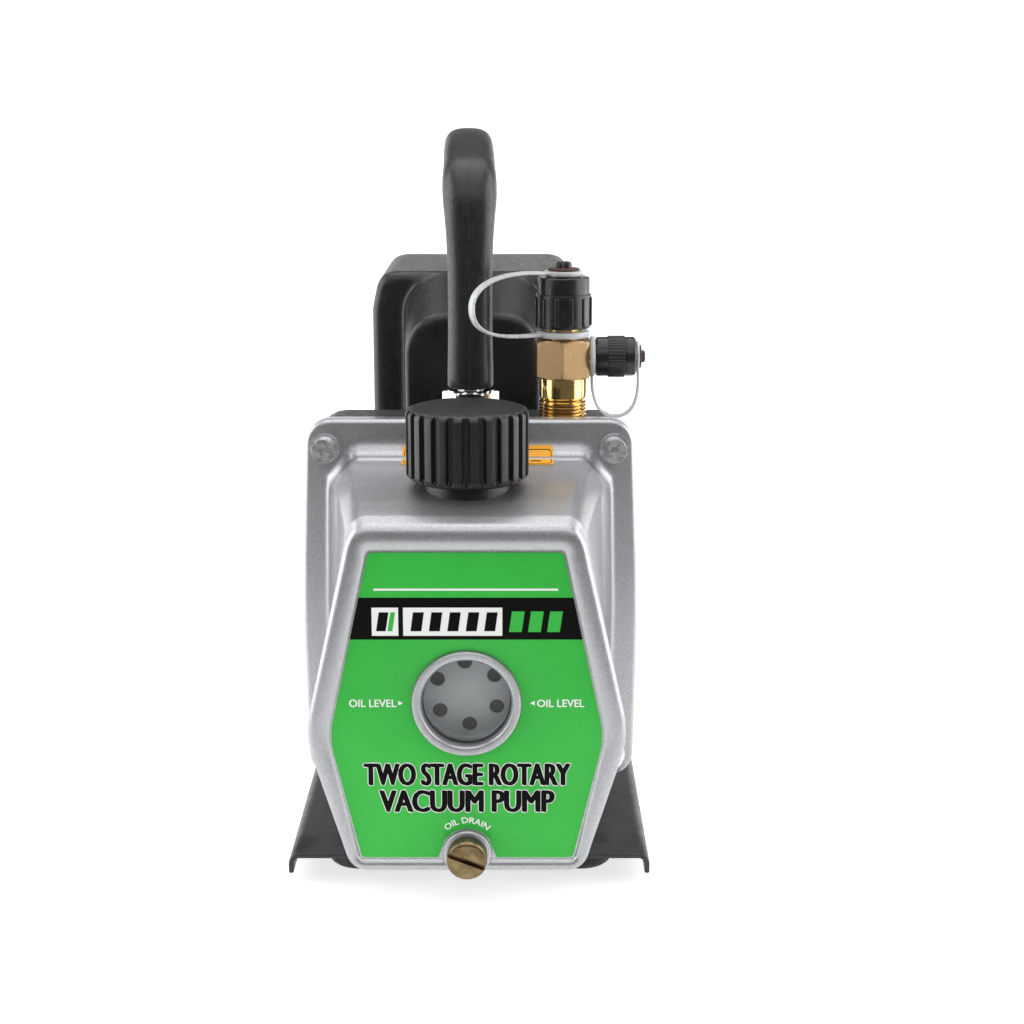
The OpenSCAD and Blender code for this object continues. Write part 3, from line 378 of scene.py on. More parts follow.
def turned(u, v, h, centre, axis):
    """A point of a turned shape whose axis is z, y, -y or x."""
    c = Vector(centre)
    if axis == "z":
        return c + Vector((u, v, h))
    if axis == "x":
        return c + Vector((h, u, v))
    if axis == "-y":
        return c + Vector((u, -h, v))
    return c + Vector((v, h, u))


def arc_corner(p, q, s, r, n):
    a, b = (p - q).normalized(), (s - q).normalized()
    half = math.acos(max(-1, min(1, a.dot(b)))) / 2
    centre = q + (a + b).normalized() * r / math.sin(half)
    t0, t1 = q + a * r / math.tan(half), q + b * r / math.tan(half)
    v0, v1 = t0 - centre, t1 - centre
    turn = math.atan2(v0.x * v1.y - v0.y * v1.x, v0.dot(v1))
    return [centre + Matrix.Rotation(turn * i / n, 2) @ v0 for i in range(n + 1)]


def rounded_half(points, n=10):
    """The right half of an outline, from bottom to top: one polyline per corner and side."""
    pts = [Vector(p[:2]) for p in points]
    ends = [Vector((0, pts[0].y))] + pts + [Vector((0, pts[-1].y))]
    arcs = [arc_corner(ends[i], ends[i + 1], ends[i + 2], points[i][2], n) for i in range(len(points))]
    parts = [[ends[0], arcs[0][0]]]
    for i, arc in enumerate(arcs):
        parts.append(arc)
        parts.append([arc[-1], arcs[i + 1][0] if i + 1 < len(arcs) else ends[-1]])
    return parts


def resample(path, n):
    """n + 1 points evenly along a polyline."""
    lengths = [0.0]
    for a, b in zip(path, path[1:]):
        lengths.append(lengths[-1] + (b - a).length)
    out, k = [], 0
    for i in range(n + 1):
        want = lengths[-1] * i / n
        while k < len(path) - 2 and lengths[k + 1] < want:
            k += 1
        span = lengths[k + 1] - lengths[k]
        t = (want - lengths[k]) / span if span > 1e-9 else 0
        out.append(path[k].lerp(path[k + 1], min(max(t, 0), 1)))
    return out


def ring_from(parts, counts):
    """A closed outline with set numbers of points in its parts, so that outlines can be blended."""
    right = []
    for path, n in zip(parts, counts):
        right += resample(path, n)[:-1]
    top = Vector((0, parts[-1][-1].y))
    left = [Vector((-p.x, p.y)) for p in reversed(right[1:])]
    return right + [top] + left


def blended(a, b, t):
    return [p.lerp(q, t) for p, q in zip(a, b)]


def at_y(ring, y):
    return [Vector((p.x, y, p.y)) for p in ring]


def ease(t):
    """A soft step from 0 to 1, while t goes from 0 to 1."""
    t = min(max(t, 0), 1)
    return t * t * (3 - 2 * t)


def cubic(a, b, c, d, t):
    s = 1 - t
    return a * s ** 3 + b * 3 * t * s * s + c * 3 * t * t * s + d * t ** 3


def curve_points(curves, n):
    """Points along cubic curves that share their ends."""
    out = [Vector(curves[0][0])]
    for c in curves:
        p = [Vector(v) for v in c]
        out += [cubic(*p, i / n) for i in range(1, n + 1)]
    return out


def heading(path, i):
    return (path[min(i + 1, len(path) - 1)] - path[max(i - 1, 0)]).normalized()


def sweep(build, path, halves, side, n=32, power=3.0, mat=0):
    """A tube along path with superellipse sections, capped at both ends. side is the width's direction.
    halves holds [half width, half height] or [half width, outer height, inner height]."""
    rings = []
    for i, p in enumerate(path):
        up = heading(path, i).cross(side).normalized()
        w, outer = halves[i][0], halves[i][1]
        inner = halves[i][-1]
        ring = []
        for k in range(n):
            a = 2 * math.pi * (k + 0.5) / n
            c, s = math.cos(a), math.sin(a)
            u = math.copysign(abs(c) ** (2 / power), c) * w
            v = abs(s) ** (2 / power) * (inner if s > 0 else -outer)
            ring.append(p + side * u + up * v)
        rings.append(ring)
    build.loft(rings, mat, True, True)


def tuned_node(name, width):
    """A CAD node keeps its shape and gets its slot's material. A bevel of this width breaks its corners."""
    obj = frame["nodes"][name]
    mesh = obj.data
    mesh.materials.clear()
    mesh.materials.append(MATS[SLOT_OF[name]])
    for p in mesh.polygons:
        p.material_index = 0
    weld = obj.modifiers.new("join_faces", "WELD")
    weld.merge_threshold = 2e-6
    if width:
        bevel = obj.modifiers.new("broken_edges", "BEVEL")
        bevel.width = width * MM
        bevel.segments = 2
        bevel.limit_method = "ANGLE"
        bevel.angle_limit = math.radians(35)
        bevel.harden_normals = True
        bevel.use_clamp_overlap = True
    return obj


SLOT_OF = {row["node"]: row["material_slot"] for row in frame["record"]["subparts"]}

# ---------- oil tank ----------

COUNTS_3 = (14, 10, 12, 12, 16, 10, 14)
FLANGE = [(60, 25, 9), (61.2, 93, 700), (58.5, 160.2, 9)]
BACK = [(40, 29, 8), (50.6, 44, 10), (51.2, 93, 300), (50.3, 136.4, 4), (41.0, 147.3, 4)]
WAIST = [(40, 26, 8), (51.0, 52, 14), (51.6, 90, 300), (48.4, 138.0, 3), (42.6, 146.1, 3)]
CROWN = [(0, 0), (9, 0), (12, 0.0), (30, 1.3), (47, 2.1), (57, 2.1), (61.8, 1.8)]
WAIST_DEPTH = 9.0
FILLET, TOP_FILLET, FILLET_DEPTH = 2.4, 6.8, 5.2
GLASS_HOLE_R = 18.35
RIM_EDGE = 3.2
RIM = [(0.0, 3.2), (0.004, 2.3), (0.03, 1.5), (0.08, 0.85), (0.16, 0.38), (0.27, 0.1), (0.40, 0.0),
       (0.54, 0.05), (0.68, 0.22), (0.80, 0.5), (0.90, 0.9), (0.96, 1.2), (1.0, 1.5)]
PANEL = [(39.5, 15.7, 7.5), (54.6, 64.1, 32), (38.3, 135.8, 8.5)]
LABEL = [(36.4, 20, 1.6), (46.6, 63.5, 26), (32.6, 128.2, 2)]


def five_to_three(parts):
    """For an outline with two corners at each end of its side: each pair counts as one long corner."""
    low = parts[1] + parts[2] + parts[3]
    high = parts[7] + parts[8] + parts[9]
    return [parts[0], low, parts[4], parts[5], parts[6], high, parts[10]]


def side_weight(ring, i):
    """1 on the flanks of an outline, 0 on its top and bottom, from the outline's own direction."""
    return ease((abs(outward(ring, i).x) - 0.84) / 0.13)


def outward(ring, i):
    along = (ring[(i + 1) % len(ring)] - ring[i - 1]).normalized()
    return Vector((along.y, -along.x))


def grown(ring, d):
    """Each point moved outwards along the outline's own normal, by d or by d[i]."""
    return [p + outward(ring, i) * (d[i] if isinstance(d, list) else d) for i, p in enumerate(ring)]


def top_weight(ring, i):
    """1 along an outline's top edge, 0 elsewhere."""
    return ease((outward(ring, i).y - 0.35) / 0.5) if ring[i].y > 100 else 0.0


def table_value(table, x):
    for (x0, v0), (x1, v1) in zip(table, table[1:]):
        if x <= x1:
            return v0 + (v1 - v0) * (x - x0) / (x1 - x0)
    return table[-1][1]


def body_outline(y, stations):
    """The tank's outline at y, blended between [y, outline] stations that go forwards."""
    for (y0, a), (y1, b) in zip(stations, stations[1:]):
        if y >= y1:
            return blended(a, b, (y0 - y) / (y0 - y1))
    return stations[-1][1]


def round_the_glass(ring, r):
    """A circle round the sight glass, with one point for each point of the ring."""
    out = []
    for p in ring:
        d = (p - Vector((0, sight.z))).normalized() * r
        out.append(Vector((d.x, sight.z + d.y)))
    return out


def oil_tank():
    """One casting: flange, fillet, scooped sides, sloping top, rolled rim and the floor behind the label."""
    flange = ring_from(rounded_half(FLANGE), COUNTS_3)
    back = ring_from(five_to_three(rounded_half(BACK)), COUNTS_3)
    waist = ring_from(five_to_three(rounded_half(WAIST)), COUNTS_3)
    panel = ring_from(rounded_half(PANEL), COUNTS_3)
    label = ring_from(rounded_half(LABEL), COUNTS_3)
    centre = Vector((0, SHAFT_Z))
    rings = [at_y(grown(flange, -4), flange_y + 7), at_y(grown(flange, -0.5), flange_y + 7),
             at_y(flange, flange_y + 6.5), at_y(flange, flange_y + 1.6)]
    for k in range(1, 6):
        a = math.pi / 2 * k / 5
        rings.append(at_y(grown(flange, -1.6 * (1 - math.cos(a))), flange_y + 1.6 * (1 - math.sin(a))))
    fillet = [FILLET + (TOP_FILLET - FILLET) * top_weight(back, i) for i in range(len(back))]
    rings += [at_y(blended(grown(flange, -1.6), grown(back, fillet), t), flange_y) for t in (0.5, 1.0)]
    for k in range(1, 9):
        a = math.pi / 2 * k / 8
        out = grown(back, [f * (1 - math.sin(a)) for f in fillet])
        rings.append([Vector((p.x, flange_y - min(f, FILLET_DEPTH) * (1 - math.cos(a)), p.y))
                      for p, f in zip(out, fillet)])
    start, end, steps = flange_y - 5.6, panel_y + RIM_EDGE, 30
    stations = [(flange_y - FILLET, back), (flange_y - WAIST_DEPTH, waist), (panel_y, panel)]
    for k in range(steps):
        y = start + (end - start) * k / steps
        plain = body_outline(y, stations)
        depth = flange_y - y
        t = depth / (flange_y - end)
        scoop = 4.6 * math.sin(math.pi * t ** 0.75) ** 0.8
        crown = table_value(CROWN, depth)
        rings.append(at_y([p + (centre - p).normalized() * scoop * side_weight(plain, i)
                           + Vector((0, crown * top_weight(plain, i))) for i, p in enumerate(plain)], y))
    for t, rise in RIM:
        crown = 1.8 * min(rise / 3.0, 1) ** 0.6 if t < 0.3 else 0
        rings.append(at_y([p + Vector((0, crown * top_weight(panel, i)))
                           for i, p in enumerate(blended(panel, label, t))], panel_y + rise))
    build = Build()
    build.loft(rings)
    hole = round_the_glass(label, GLASS_HOLE_R)
    build.loft([at_y(label, label_floor_y), at_y(blended(label, hole, 0.5), label_floor_y),
                at_y(hole, label_floor_y), at_y(hole, label_floor_y + 2.5)])
    return build.make("tank_casting", "tank_paint", replaces=("oil_tank",), sharp=50)


def sight_ring():
    """Ring of the casting round the glass, with its chamfer and bored seat."""
    build = Build()
    prof = [(GLASS_HOLE_R, -3.0), (GLASS_HOLE_R, -0.5), (18.15, -0.05), (17.7, 0.2), (16.2, 0.25),
            (15.7, 0.1), (15.2, -0.4), (14.9, -1.2), (14.9, -3.0), (16.4, -3.2), (17.0, -3.6),
            (17.0, -13.0), (17.7, -13.0), (GLASS_HOLE_R, -3.0)]
    build.lathe(prof, (0, panel_y, sight.z), "-y", 128)
    return build.make("sight_glass_ring", "tank_paint", sharp=25)


def sight_shade():
    """Painted shade: a dark disc behind the reflector, standing in for the shaded inside of the tank as seen
    through the reflector's holes.
    """
    back = node_box("sight_glass_reflector")[1].y
    build = Build()
    build.lathe([(0.001, -1.2), (12, -1.2), (15.8, -0.6), (15.8, -1.4), (12, -1.9), (0.001, -1.9)],
                (0, back, sight.z), "-y", 64)
    return build.make("sight_shade", SLOT_OF["sight_glass_o_ring"], sharp=30)


def drain_boss():
    build = Build()
    prof = [(8.4, -6.0), (8.4, -0.5), (8.1, 0.0), (7.6, 0.2), (5.0, 0.2), (4.4, -0.3), (4.2, -1.0), (4.2, -6)]
    floor = PANEL[0][1] + 0.2

    def cut_flat(a, r, h):
        s = math.sin(a)
        reach = (drain.z - floor) / -s if s < -0.05 else 99
        return min(r, max(reach, 4.2))

    build.lathe(prof, (0, panel_y, drain.z), "-y", 96, wave=cut_flat)
    return build.make("drain_boss_face", "tank_paint", sharp=40)


# ---------- labels ----------

def label_x(z):
    """Half width of the label at a height."""
    (x0, z0), (x1, z1), (x2, z2) = [(p[0], p[1]) for p in LABEL]
    return x0 + (x1 - x0) * (z - z0) / (z1 - z0) if z < z1 else x1 + (x2 - x1) * (z - z1) / (z2 - z1)


def front_label():
    """Green film with a round hole for the glass and a notch for the drain."""
    half = rounded_half([(x - 0.5, z + (0.5 if i == 0 else -0.5 if i == 2 else 0), r)
                         for i, (x, z, r) in enumerate(LABEL)])
    outer = ring_from(half, COUNTS_3)
    notch_r, notched = 9.0, []
    for p in outer:
        d = p - Vector((0, drain.z))
        if d.length < notch_r:
            x = p.x
            p = Vector((x, drain.z + math.sqrt(max(notch_r ** 2 - x * x, 0))))
        notched.append(p)
    hole = round_the_glass(notched, 18.5)
    mid = blended(notched, hole, 0.5)
    build = Build()
    front, rear = label_face_y, label_floor_y - 0.02
    layers = [(notched, rear), (notched, front + 0.05), (blended(notched, hole, 0.004), front), (mid, front),
              (blended(notched, hole, 0.992), front), (hole, front + 0.05), (hole, rear), (mid, rear),
              (notched, rear)]
    build.loft([at_y(r, y) for r, y in layers])
    return build.make("label_film", "green_label", replaces=("front_label",), sharp=50)


def label_band():
    """Black band across the label with plain blocks and bars, and a thin pale line above it."""
    y = label_face_y
    build = Build()
    low, high = 98.0, 112.4

    def strip(z0, z1, mat, out=0.55):
        w0, w1 = label_x(z0) - out, label_x(z1) - out
        build.prism([(-w0, z0), (w0, z0), (w1, z1), (-w1, z1)], y - 0.04, y, mat)

    def block(x0, x1, z0, z1, lift, mat, slant=0.0):
        outline = [(x0, z0), (x1, z0), (x1 + slant, z1), (x0 + slant, z1)]
        build.prism(outline, y - lift - 0.03, y - lift, mat)

    strip(low, high, 0)
    strip(high + 2.4, high + 3.1, 1, 5)
    block(-31.2, -22.4, 99.3, 109.0, 0.04, 1)
    block(-29.8, -26.6, 100.9, 107.4, 0.08, 0, 1.0)
    block(-26.0, -24.4, 100.9, 107.4, 0.08, 2, 1.0)
    block(-20.8, 12.0, 99.3, 109.0, 0.04, 1)
    for i in range(5):
        x = -18.4 + 6.1 * i
        block(x, x + 3.6, 100.9, 107.4, 0.08, 0, 0.9)
    for i in range(3):
        x = 14.2 + 6.3 * i
        block(x, x + 4.2, 100.6, 107.7, 0.04, 2, 1.0)
    return build.make("label_band", "green_label", mats=[BAND_BLACK, MARK_WHITE, MATS["green_label"]])


def label_marks():
    """Level pointers at both sides of the glass."""
    y = label_face_y
    build = Build()
    for s in (-1, 1):
        tip, tail = 21.2, 22.8
        points = [(s * tip, sight.z), (s * tail, sight.z + 0.8), (s * tail, sight.z - 0.8)]
        build.prism(points if s > 0 else points[::-1], y - 0.06, y)
    return build.make("label_marks", "green_label", mats=[MARK_WHITE])


CAPITAL_SHARE = 0.7
COPY_LIFT = 0.012


def word(name, text, x, z, height, mat, width=None, spread=((0, 0),), lift=0.03, bend_r=None):
    """Generic wording as flat letters. spread repeats them at small offsets to make them bold."""
    curve = bpy.data.curves.new(name, "FONT")
    curve.body = text
    curve.size = height / CAPITAL_SHARE * MM
    curve.align_x = "CENTER"
    curve.extrude = 0.02 * MM
    curve.resolution_u = 4
    obj = linked(name, curve)
    flat = evaluated_mesh(obj)
    bpy.data.objects.remove(obj)
    reach = max(abs(v.co.x) for v in flat.vertices) / MM
    squeeze = width / 2 / reach if width else 1.0
    y = label_face_y - lift
    verts, faces = [], []
    for copy, (du, dw) in enumerate(spread):
        first = len(verts)
        for v in flat.vertices:
            u, w, d = v.co / MM
            u, w = u * squeeze + du, w + dw
            if bend_r:
                a = u / bend_r
                u, w = (bend_r + w) * math.sin(a), (bend_r + w) * math.cos(a) - bend_r
            verts.append(Vector((x + u, y - d - COPY_LIFT * copy, z + w)))
        faces += [[first + k for k in f.vertices] for f in flat.polygons]
    return piece(name, verts, faces, "green_label", mats=[mat], merge=False)


def offsets(across, up, n):
    """n small shifts round an oval, and the middle."""
    return [(0, 0)] + [(across * math.cos(a), up * math.sin(a)) for a in turns(n)]


def headline(name, text, z, width):
    """A bold dark line with a thin pale outline."""
    word(name + "_outline", text, 0, z, 7.7, MARK_WHITE, width, offsets(0.76, 0.46, 8), 0.03)
    bold = [(-0.48, 0), (-0.24, 0.16), (0, 0), (0.24, -0.16), (0.48, 0)]
    word(name, text, 0, z, 7.7, BAND_BLACK, width, bold, 0.16)


def caution_label():
    """Orange sticker on the tank's slope, with a dark frame and plain bars in place of wording."""
    low, high = node_box("caution_label")
    build = Build()
    x0, x1, y0, y1 = low.x, high.x, low.y, high.y
    top, knee = BACK[-1][1], WAIST[-1][1]

    def on_slope(x, y, lift):
        depth = flange_y - y
        steep = TOP_FILLET * (1 - math.sqrt(1 - (max(FILLET_DEPTH - depth, 0) / FILLET_DEPTH) ** 2))
        if depth < WAIST_DEPTH:
            t = max(depth - FILLET, 0) / (WAIST_DEPTH - FILLET)
            return Vector((x, y, top + (knee - top) * t + steep + lift))
        t = (depth - WAIST_DEPTH) / (flange_y - panel_y - WAIST_DEPTH)
        return Vector((x, y, knee + (PANEL[-1][1] - knee) * t + lift))

    def patch(px0, px1, py0, py1, lift, mat):
        r = 0.7
        rows = 12
        cuts = [py0 + (py1 - py0) * k / rows for k in range(rows + 1)]
        strips = []
        for y in cuts:
            near = max(r - (y - py0), r - (py1 - y), 0)
            inset = r - math.sqrt(max(r * r - near * near, 0))
            strips.append((on_slope(px0 + inset, y, lift), on_slope(px1 - inset, y, lift)))
        down = Vector((0, 0, 0.1))
        build.loft([[p, q, q - down, p - down] for p, q in strips], mat, True, True)

    patch(x0, x1, y0, y1, 0.22, 0)
    patch(x0 + 0.7, x1 - 0.7, y0 + 0.8, y1 - 0.7, 0.25, 1)
    patch(x0 + 0.95, x1 - 0.95, y0 + 1.15, y1 - 0.9, 0.28, 0)
    for k, (a, b) in enumerate(((45.6, 49.6), (45.0, 50.4))):
        y = y0 + 2.6 + 2.8 * k
        patch(x0 + a, x0 + b, y, y + 0.9, 0.31, 1)
    return build.make("caution_sticker", "orange_label", mats=[MATS["orange_label"], BAND_BLACK],
                      replaces=("caution_label",), sharp=60)


# ---------- filler cap and drain plug ----------

def filler_cap():
    """Domed cap with upright finger grooves that run out over its shoulder."""
    z0 = node_box("filler_cap")[0].z
    grooves, depth, outer = 24, 1.5, 21.0
    straight = [2.5 + 0.3 * k for k in range(5)] + [4.8 + 1.2 * k for k in range(15)] + [22.6]
    prof = [(17.5, 14.0), (17.5, 0.4), (17.8, 0.05), (18.2, 0.0), (19.2, 0.4), (20.1, 1.1), (20.7, 1.8)]
    prof += [(outer, h) for h in straight]
    prof += [(20.95, 23.1), (20.8, 23.5), (20.5, 23.95), (20.1, 24.3), (19.75, 24.5), (19.4, 24.65),
             (19.0, 24.8), (18, 25.05), (16, 25.4), (13, 25.85), (10, 26.3), (7, 26.6), (4, 26.8),
             (0.001, 26.9)]

    def groove(a, r, h):
        if r < 18.9 or h < 1.5:
            return r
        u = ((a * grooves / (2 * math.pi) + 0.5) % 1 - 0.5) * 2 * math.pi * outer / grooves
        end = min((h - 1.7) / 1.1, 1)
        half = 1.42 * math.sqrt(max(0, 1 - (1 - max(end, 0)) ** 2))
        if half <= 0.05:
            return r
        return min(r, outer - depth * ease((half - abs(u)) / 0.4))

    build = Build()
    build.lathe(prof, (filler.x, filler.y, z0), "z", grooves * 16, wave=groove)
    build.lathe([(13.6, 2.2), (13.6, 15.9), (11.25, 15.9), (11.25, 2.2), (13.6, 2.2)],
                (filler.x, filler.y, z0), "z", 64)
    return build.make("filler_cap_shell", "cap_plastic", body="filler_cap", replaces=("filler_cap",),
                      sharp=55)


def filler_neck():
    base_z = node_box("filler_neck")[1].z - 19.5
    prof = [(8.5, -5), (8.5, 19.2), (8.9, 19.5), (10.4, 19.5)]
    for k in range(5):
        z = 18.6 - 2.2 * k
        prof += [(10.9, z), (10.9, z - 0.7), (10.1, z - 1.2), (10.1, z - 1.7)]
    prof += [(10.2, 7.0), (13.8, 6.9), (14.4, 6.5), (14.6, 5.8), (14.6, 0), (10.9, 0), (10.9, -5), (8.5, -5)]
    build = Build()
    build.lathe(prof, (filler.x, filler.y, base_z), "z", 96)
    return build.make("filler_neck_collar", "cap_plastic", replaces=("filler_neck",), sharp=30)


def drain_plug():
    low, high = node_box("drain_plug")
    h = high.y - low.y
    prof = [(0.001, 0), (5.4, 0), (6.1, -0.15), (6.55, -0.5), (6.85, -1.0)]
    prof += [(6.85, -1.0 - 0.3 * k) for k in range(1, 11)]
    prof += [(6.6, -4.3), (3.9, -4.3), (3.9, -h), (0.001, -h)]

    def knurl(a, r, z):
        return r - 0.16 * (0.5 + 0.5 * math.cos(a * 44)) if r > 6.8 and -3.9 < z < -1.2 else r

    build = Build()
    build.lathe(prof, (0, low.y, drain.z), "-y", 264, wave=knurl)
    plug = build.make("drain_plug_head", "yellow_zinc", body=None, sharp=40)
    slot = Build()
    slot.prism([(-9, -0.95), (9, -0.95), (9, 0.95), (-9, 0.95)], -1, 1.9)
    tilt = Matrix.Rotation(math.radians(21), 3, "Y")
    cut = Build()
    cut.add([tilt @ v + Vector((0, low.y, drain.z)) for v in slot.verts], slot.faces)
    subtract(plug, cut)
    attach(plug, "drain_plug")
    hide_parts("drain_plug")
    return plug


def subtract(obj, cutter):
    """Cuts a collected shape out of an object, for good."""
    mesh = bpy.data.meshes.new("cutter")
    mesh.from_pydata([v * MM for v in cutter.verts], [], cutter.faces)
    other = linked("cutter", mesh)
    finish_mesh(mesh)
    mod = obj.modifiers.new("cut", "BOOLEAN")
    mod.operation, mod.object, mod.solver = "DIFFERENCE", other, "EXACT"
    bake_modifiers(obj)
    bpy.data.objects.remove(other)
    finish_mesh(obj.data, 30, False)


def bake_modifiers(obj):
    mesh = evaluated_mesh(obj)
    obj.modifiers.clear()
    old = obj.data
    obj.data = mesh
    bpy.data.meshes.remove(old)


# ---------- intake fitting, caps and tethers ----------

def hexagon_ring(across_flats, r_round, z, centre, n=120, turn=math.pi / 2):
    """A hexagon cut by a round of radius r_round. A turn of a quarter puts a corner at the front."""
    ring = []
    for a in turns(n):
        sector = (a + turn) % (math.pi / 3) - math.pi / 6
        r = min(across_flats / 2 / math.cos(sector), r_round)
        ring.append(Vector(centre) + Vector((r * math.cos(a), r * math.sin(a), z)))
    return ring


def thread(r, z0, z1, pitch, depth):
    prof, z = [], z0
    while z < z1 - pitch * 0.5:
        prof += [(r - depth, z), (r, z + pitch * 0.38), (r, z + pitch * 0.55), (r - depth, z + pitch * 0.93)]
        z += pitch
    return prof


def intake_fitting():
    """Brass body: turned parts polished, hexagon left satin."""
    x, y = middle("intake_strainer").x, middle("intake_strainer").y
    c = (x, y, 0)
    build = Build()
    lower = [(4.5, 146), (7.9, 146), (7.9, 157.4)] + thread(8.65, 157.6, 164.2, 1.25, 0.75)
    lower += [(8.0, 164.4), (8.3, 164.8), (8.6, 165.1), (8.6, 171.9), (8.5, 172.25), (4.5, 172.25)]
    build.lathe(lower, c, "z", 128)
    upper = [(4.5, 186.3), (6.3, 186.3), (6.3, 190.3)] + thread(7.6, 190.6, 198.2, 1.27, 0.6)
    upper += [(7.0, 198.6), (5.7, 201.0), (5.2, 201.1), (4.5, 200.6), (4.5, 186.3)]
    build.lathe(upper, c, "z", 96)
    across_flats = 19.05
    sections = [(8.4, 172.2), (9.55, 172.2), (10.5, 172.75)]
    sections += [(11.0, z) for z in (173.1, 176, 179.8, 183, 185.5)]
    sections += [(10.5, 185.9), (9.55, 186.4), (6.0, 186.45)]
    build.loft([hexagon_ring(across_flats, r, z, c) for r, z in sections], 1, True, True)
    sz = middle("side_cap_seal").z
    side = [(4.7, 8.6), (4.7, 12.4)] + thread(5.2, 12.9, 20.2, 1.27, 0.55)
    side += [(4.9, 20.6), (3.9, 22.4), (2.6, 22.4), (2.6, 9)]
    build.lathe(side, (x, y, sz), "x", 80)
    return build.make("intake_body", "brass", mats=[MATS["brass"], BRASS_HEX], replaces=("intake_fitting",),
                      sharp=28)


def ribbed(count, half, depth, lowest, highest, r_rib):
    """Radius change for small ribs that stand r_rib from the axis between two heights."""
    def wave(a, r, h):
        if not lowest <= h <= highest or r < r_rib - 1.2:
            return r
        u = abs(((a * count / (2 * math.pi)) % 1 - 0.5) * 2 * math.pi * r_rib / count)
        end = min((h - lowest) / 0.4, (highest - h) / 0.4, 1)
        return r + depth * ease((half - u) / 0.3) * ease(end)
    return wave


def rivet(build, base, axis, r_disc, r_knob, h_knob, lift):
    """Washer disc, then a knob with four notches; the disc lies lift above the cap's base."""
    build.lathe([(0.001, lift - 2.3), (r_knob * 0.7, lift - 2.3), (r_knob * 0.7, lift), (r_disc, lift),
                 (r_disc + 0.15, lift + 0.3), (r_disc, lift + 0.65), (r_disc * 0.75, lift + 0.85),
                 (0.001, lift + 0.9)], base, axis, 64, 1)

    def star(a, r, h):
        return r * (1 - 0.28 * (0.5 + 0.5 * math.cos(4 * a)) ** 3) if r > 0.5 else r

    top = lift + 0.85
    knob = [(r_knob * r, top + h_knob * h) for r, h in ((1, 0), (1, 0.6), (0.9, 0.9), (0.6, 1), (0.25, 0.75))]
    build.lathe(knob + [(0.001, top + h_knob * 0.7)], base, axis, 48, 0, wave=star)


def top_cap_piece():
    base = (top_cap.x, top_cap.y, node_box("top_flare_cap")[0].z)
    prof = [(8.0, 13), (8.0, 0.4), (8.4, 0.0), (9.6, 0.0), (10.0, 0.3), (10.1, 0.8)]
    prof += [(10.1, 0.8 + 0.2 * k) for k in range(1, 4)] + [(10.1, 1.4 + 1.0 * k) for k in range(1, 10)]
    prof += [(10.1, 10.6 + 0.2 * k) for k in range(1, 5)] + [(10.1, 11.8), (9.95, 12.2), (9.5, 12.4)]
    prof += [(9.5, 12.6), (9.5, 17.7), (9.35, 18.2), (9.0, 18.45), (0.001, 18.5)]
    build = Build()
    build.lathe(prof, base, "z", 240, wave=ribbed(12, 0.75, 0.6, 0.9, 11.4, 10.1))
    rivet(build, base, "z", 5.75, 3.3, 2.2, 20.8)
    return build.make("top_cap_shell", "cap_plastic", body="top_cap", replaces=("top_flare_cap",),
                      mats=[MATS["inlet_plastic"], MAROON], sharp=32)


def side_cap_piece():
    base = (node_box("side_flare_cap")[0].x, top_cap.y, side_cap.z)
    prof = [(5.6, 12), (5.6, 0.3), (6.0, 0), (6.6, 0), (7.0, 0.3), (7.15, 0.9), (7.15, 4.3), (7.2, 4.35)]
    prof += [(7.35, 4.4 + 0.15 * k) for k in range(3)] + [(7.35, 4.9 + 0.7 * k) for k in range(8)]
    prof += [(7.35, 10.2 + 0.15 * k) for k in range(4)]
    prof += [(7.1, 10.75), (6.95, 10.85), (6.95, 11.1), (7.15, 11.2), (7.15, 13.4), (6.95, 14.1), (6.3, 14.6),
             (0.001, 14.6)]
    build = Build()
    build.lathe(prof, base, "x", 360, wave=ribbed(40, 0.28, 0.28, 4.38, 10.68, 7.35))
    rivet(build, base, "x", 4.2, 2.4, 1.35, 15.9)
    return build.make("side_cap_shell", "cap_plastic", body="side_cap", replaces=("side_flare_cap",),
                      mats=[MATS["inlet_plastic"], MAROON], sharp=32)


def flat_ring(build, centre, axis, r_out, r_in, h0, h1):
    e = 0.3
    build.lathe([(r_in, h0 + e), (r_in + e, h0), (r_out - e, h0), (r_out, h0 + e), (r_out, h1 - e),
                 (r_out - e, h1), (r_in + e, h1), (r_in, h1 - e), (r_in, h0 + e)], centre, axis, 64)


def strap_halves(n):
    """The strap widens a little where it joins its two rings."""
    out = []
    for i in range(n):
        t = abs(2 * i / (n - 1) - 1)
        out.append((2.1 * (1 + 0.25 * ease((t - 0.75) * 4)), 0.6))
    return out


def top_tether():
    x, y = top_cap.x, top_cap.y
    turn = math.radians(205)
    route = curve_points([((6, 210.2), (20, 212), (36.5, 210), (36.5, 199)),
                          ((36.5, 199), (36.5, 188), (22, 187.6), (8, 188.4))], 20)
    path = [Vector((x + p[0] * math.cos(turn), y + p[0] * math.sin(turn), p[1])) for p in route]
    build = Build()
    sweep(build, path, strap_halves(len(path)), Vector((-math.sin(turn), math.cos(turn), 0)), 20, 4)
    flat_ring(build, (x, y, 0), "z", 7.0, 2.9, 209.3, 211.1)
    flat_ring(build, (x, y, 0), "z", 9.6, 6.5, 187.2, 189.4)
    obj = build.make("top_cap_strap", "strap", body=None, replaces=("top_cap_tether",), sharp=50)
    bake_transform(obj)
    return obj


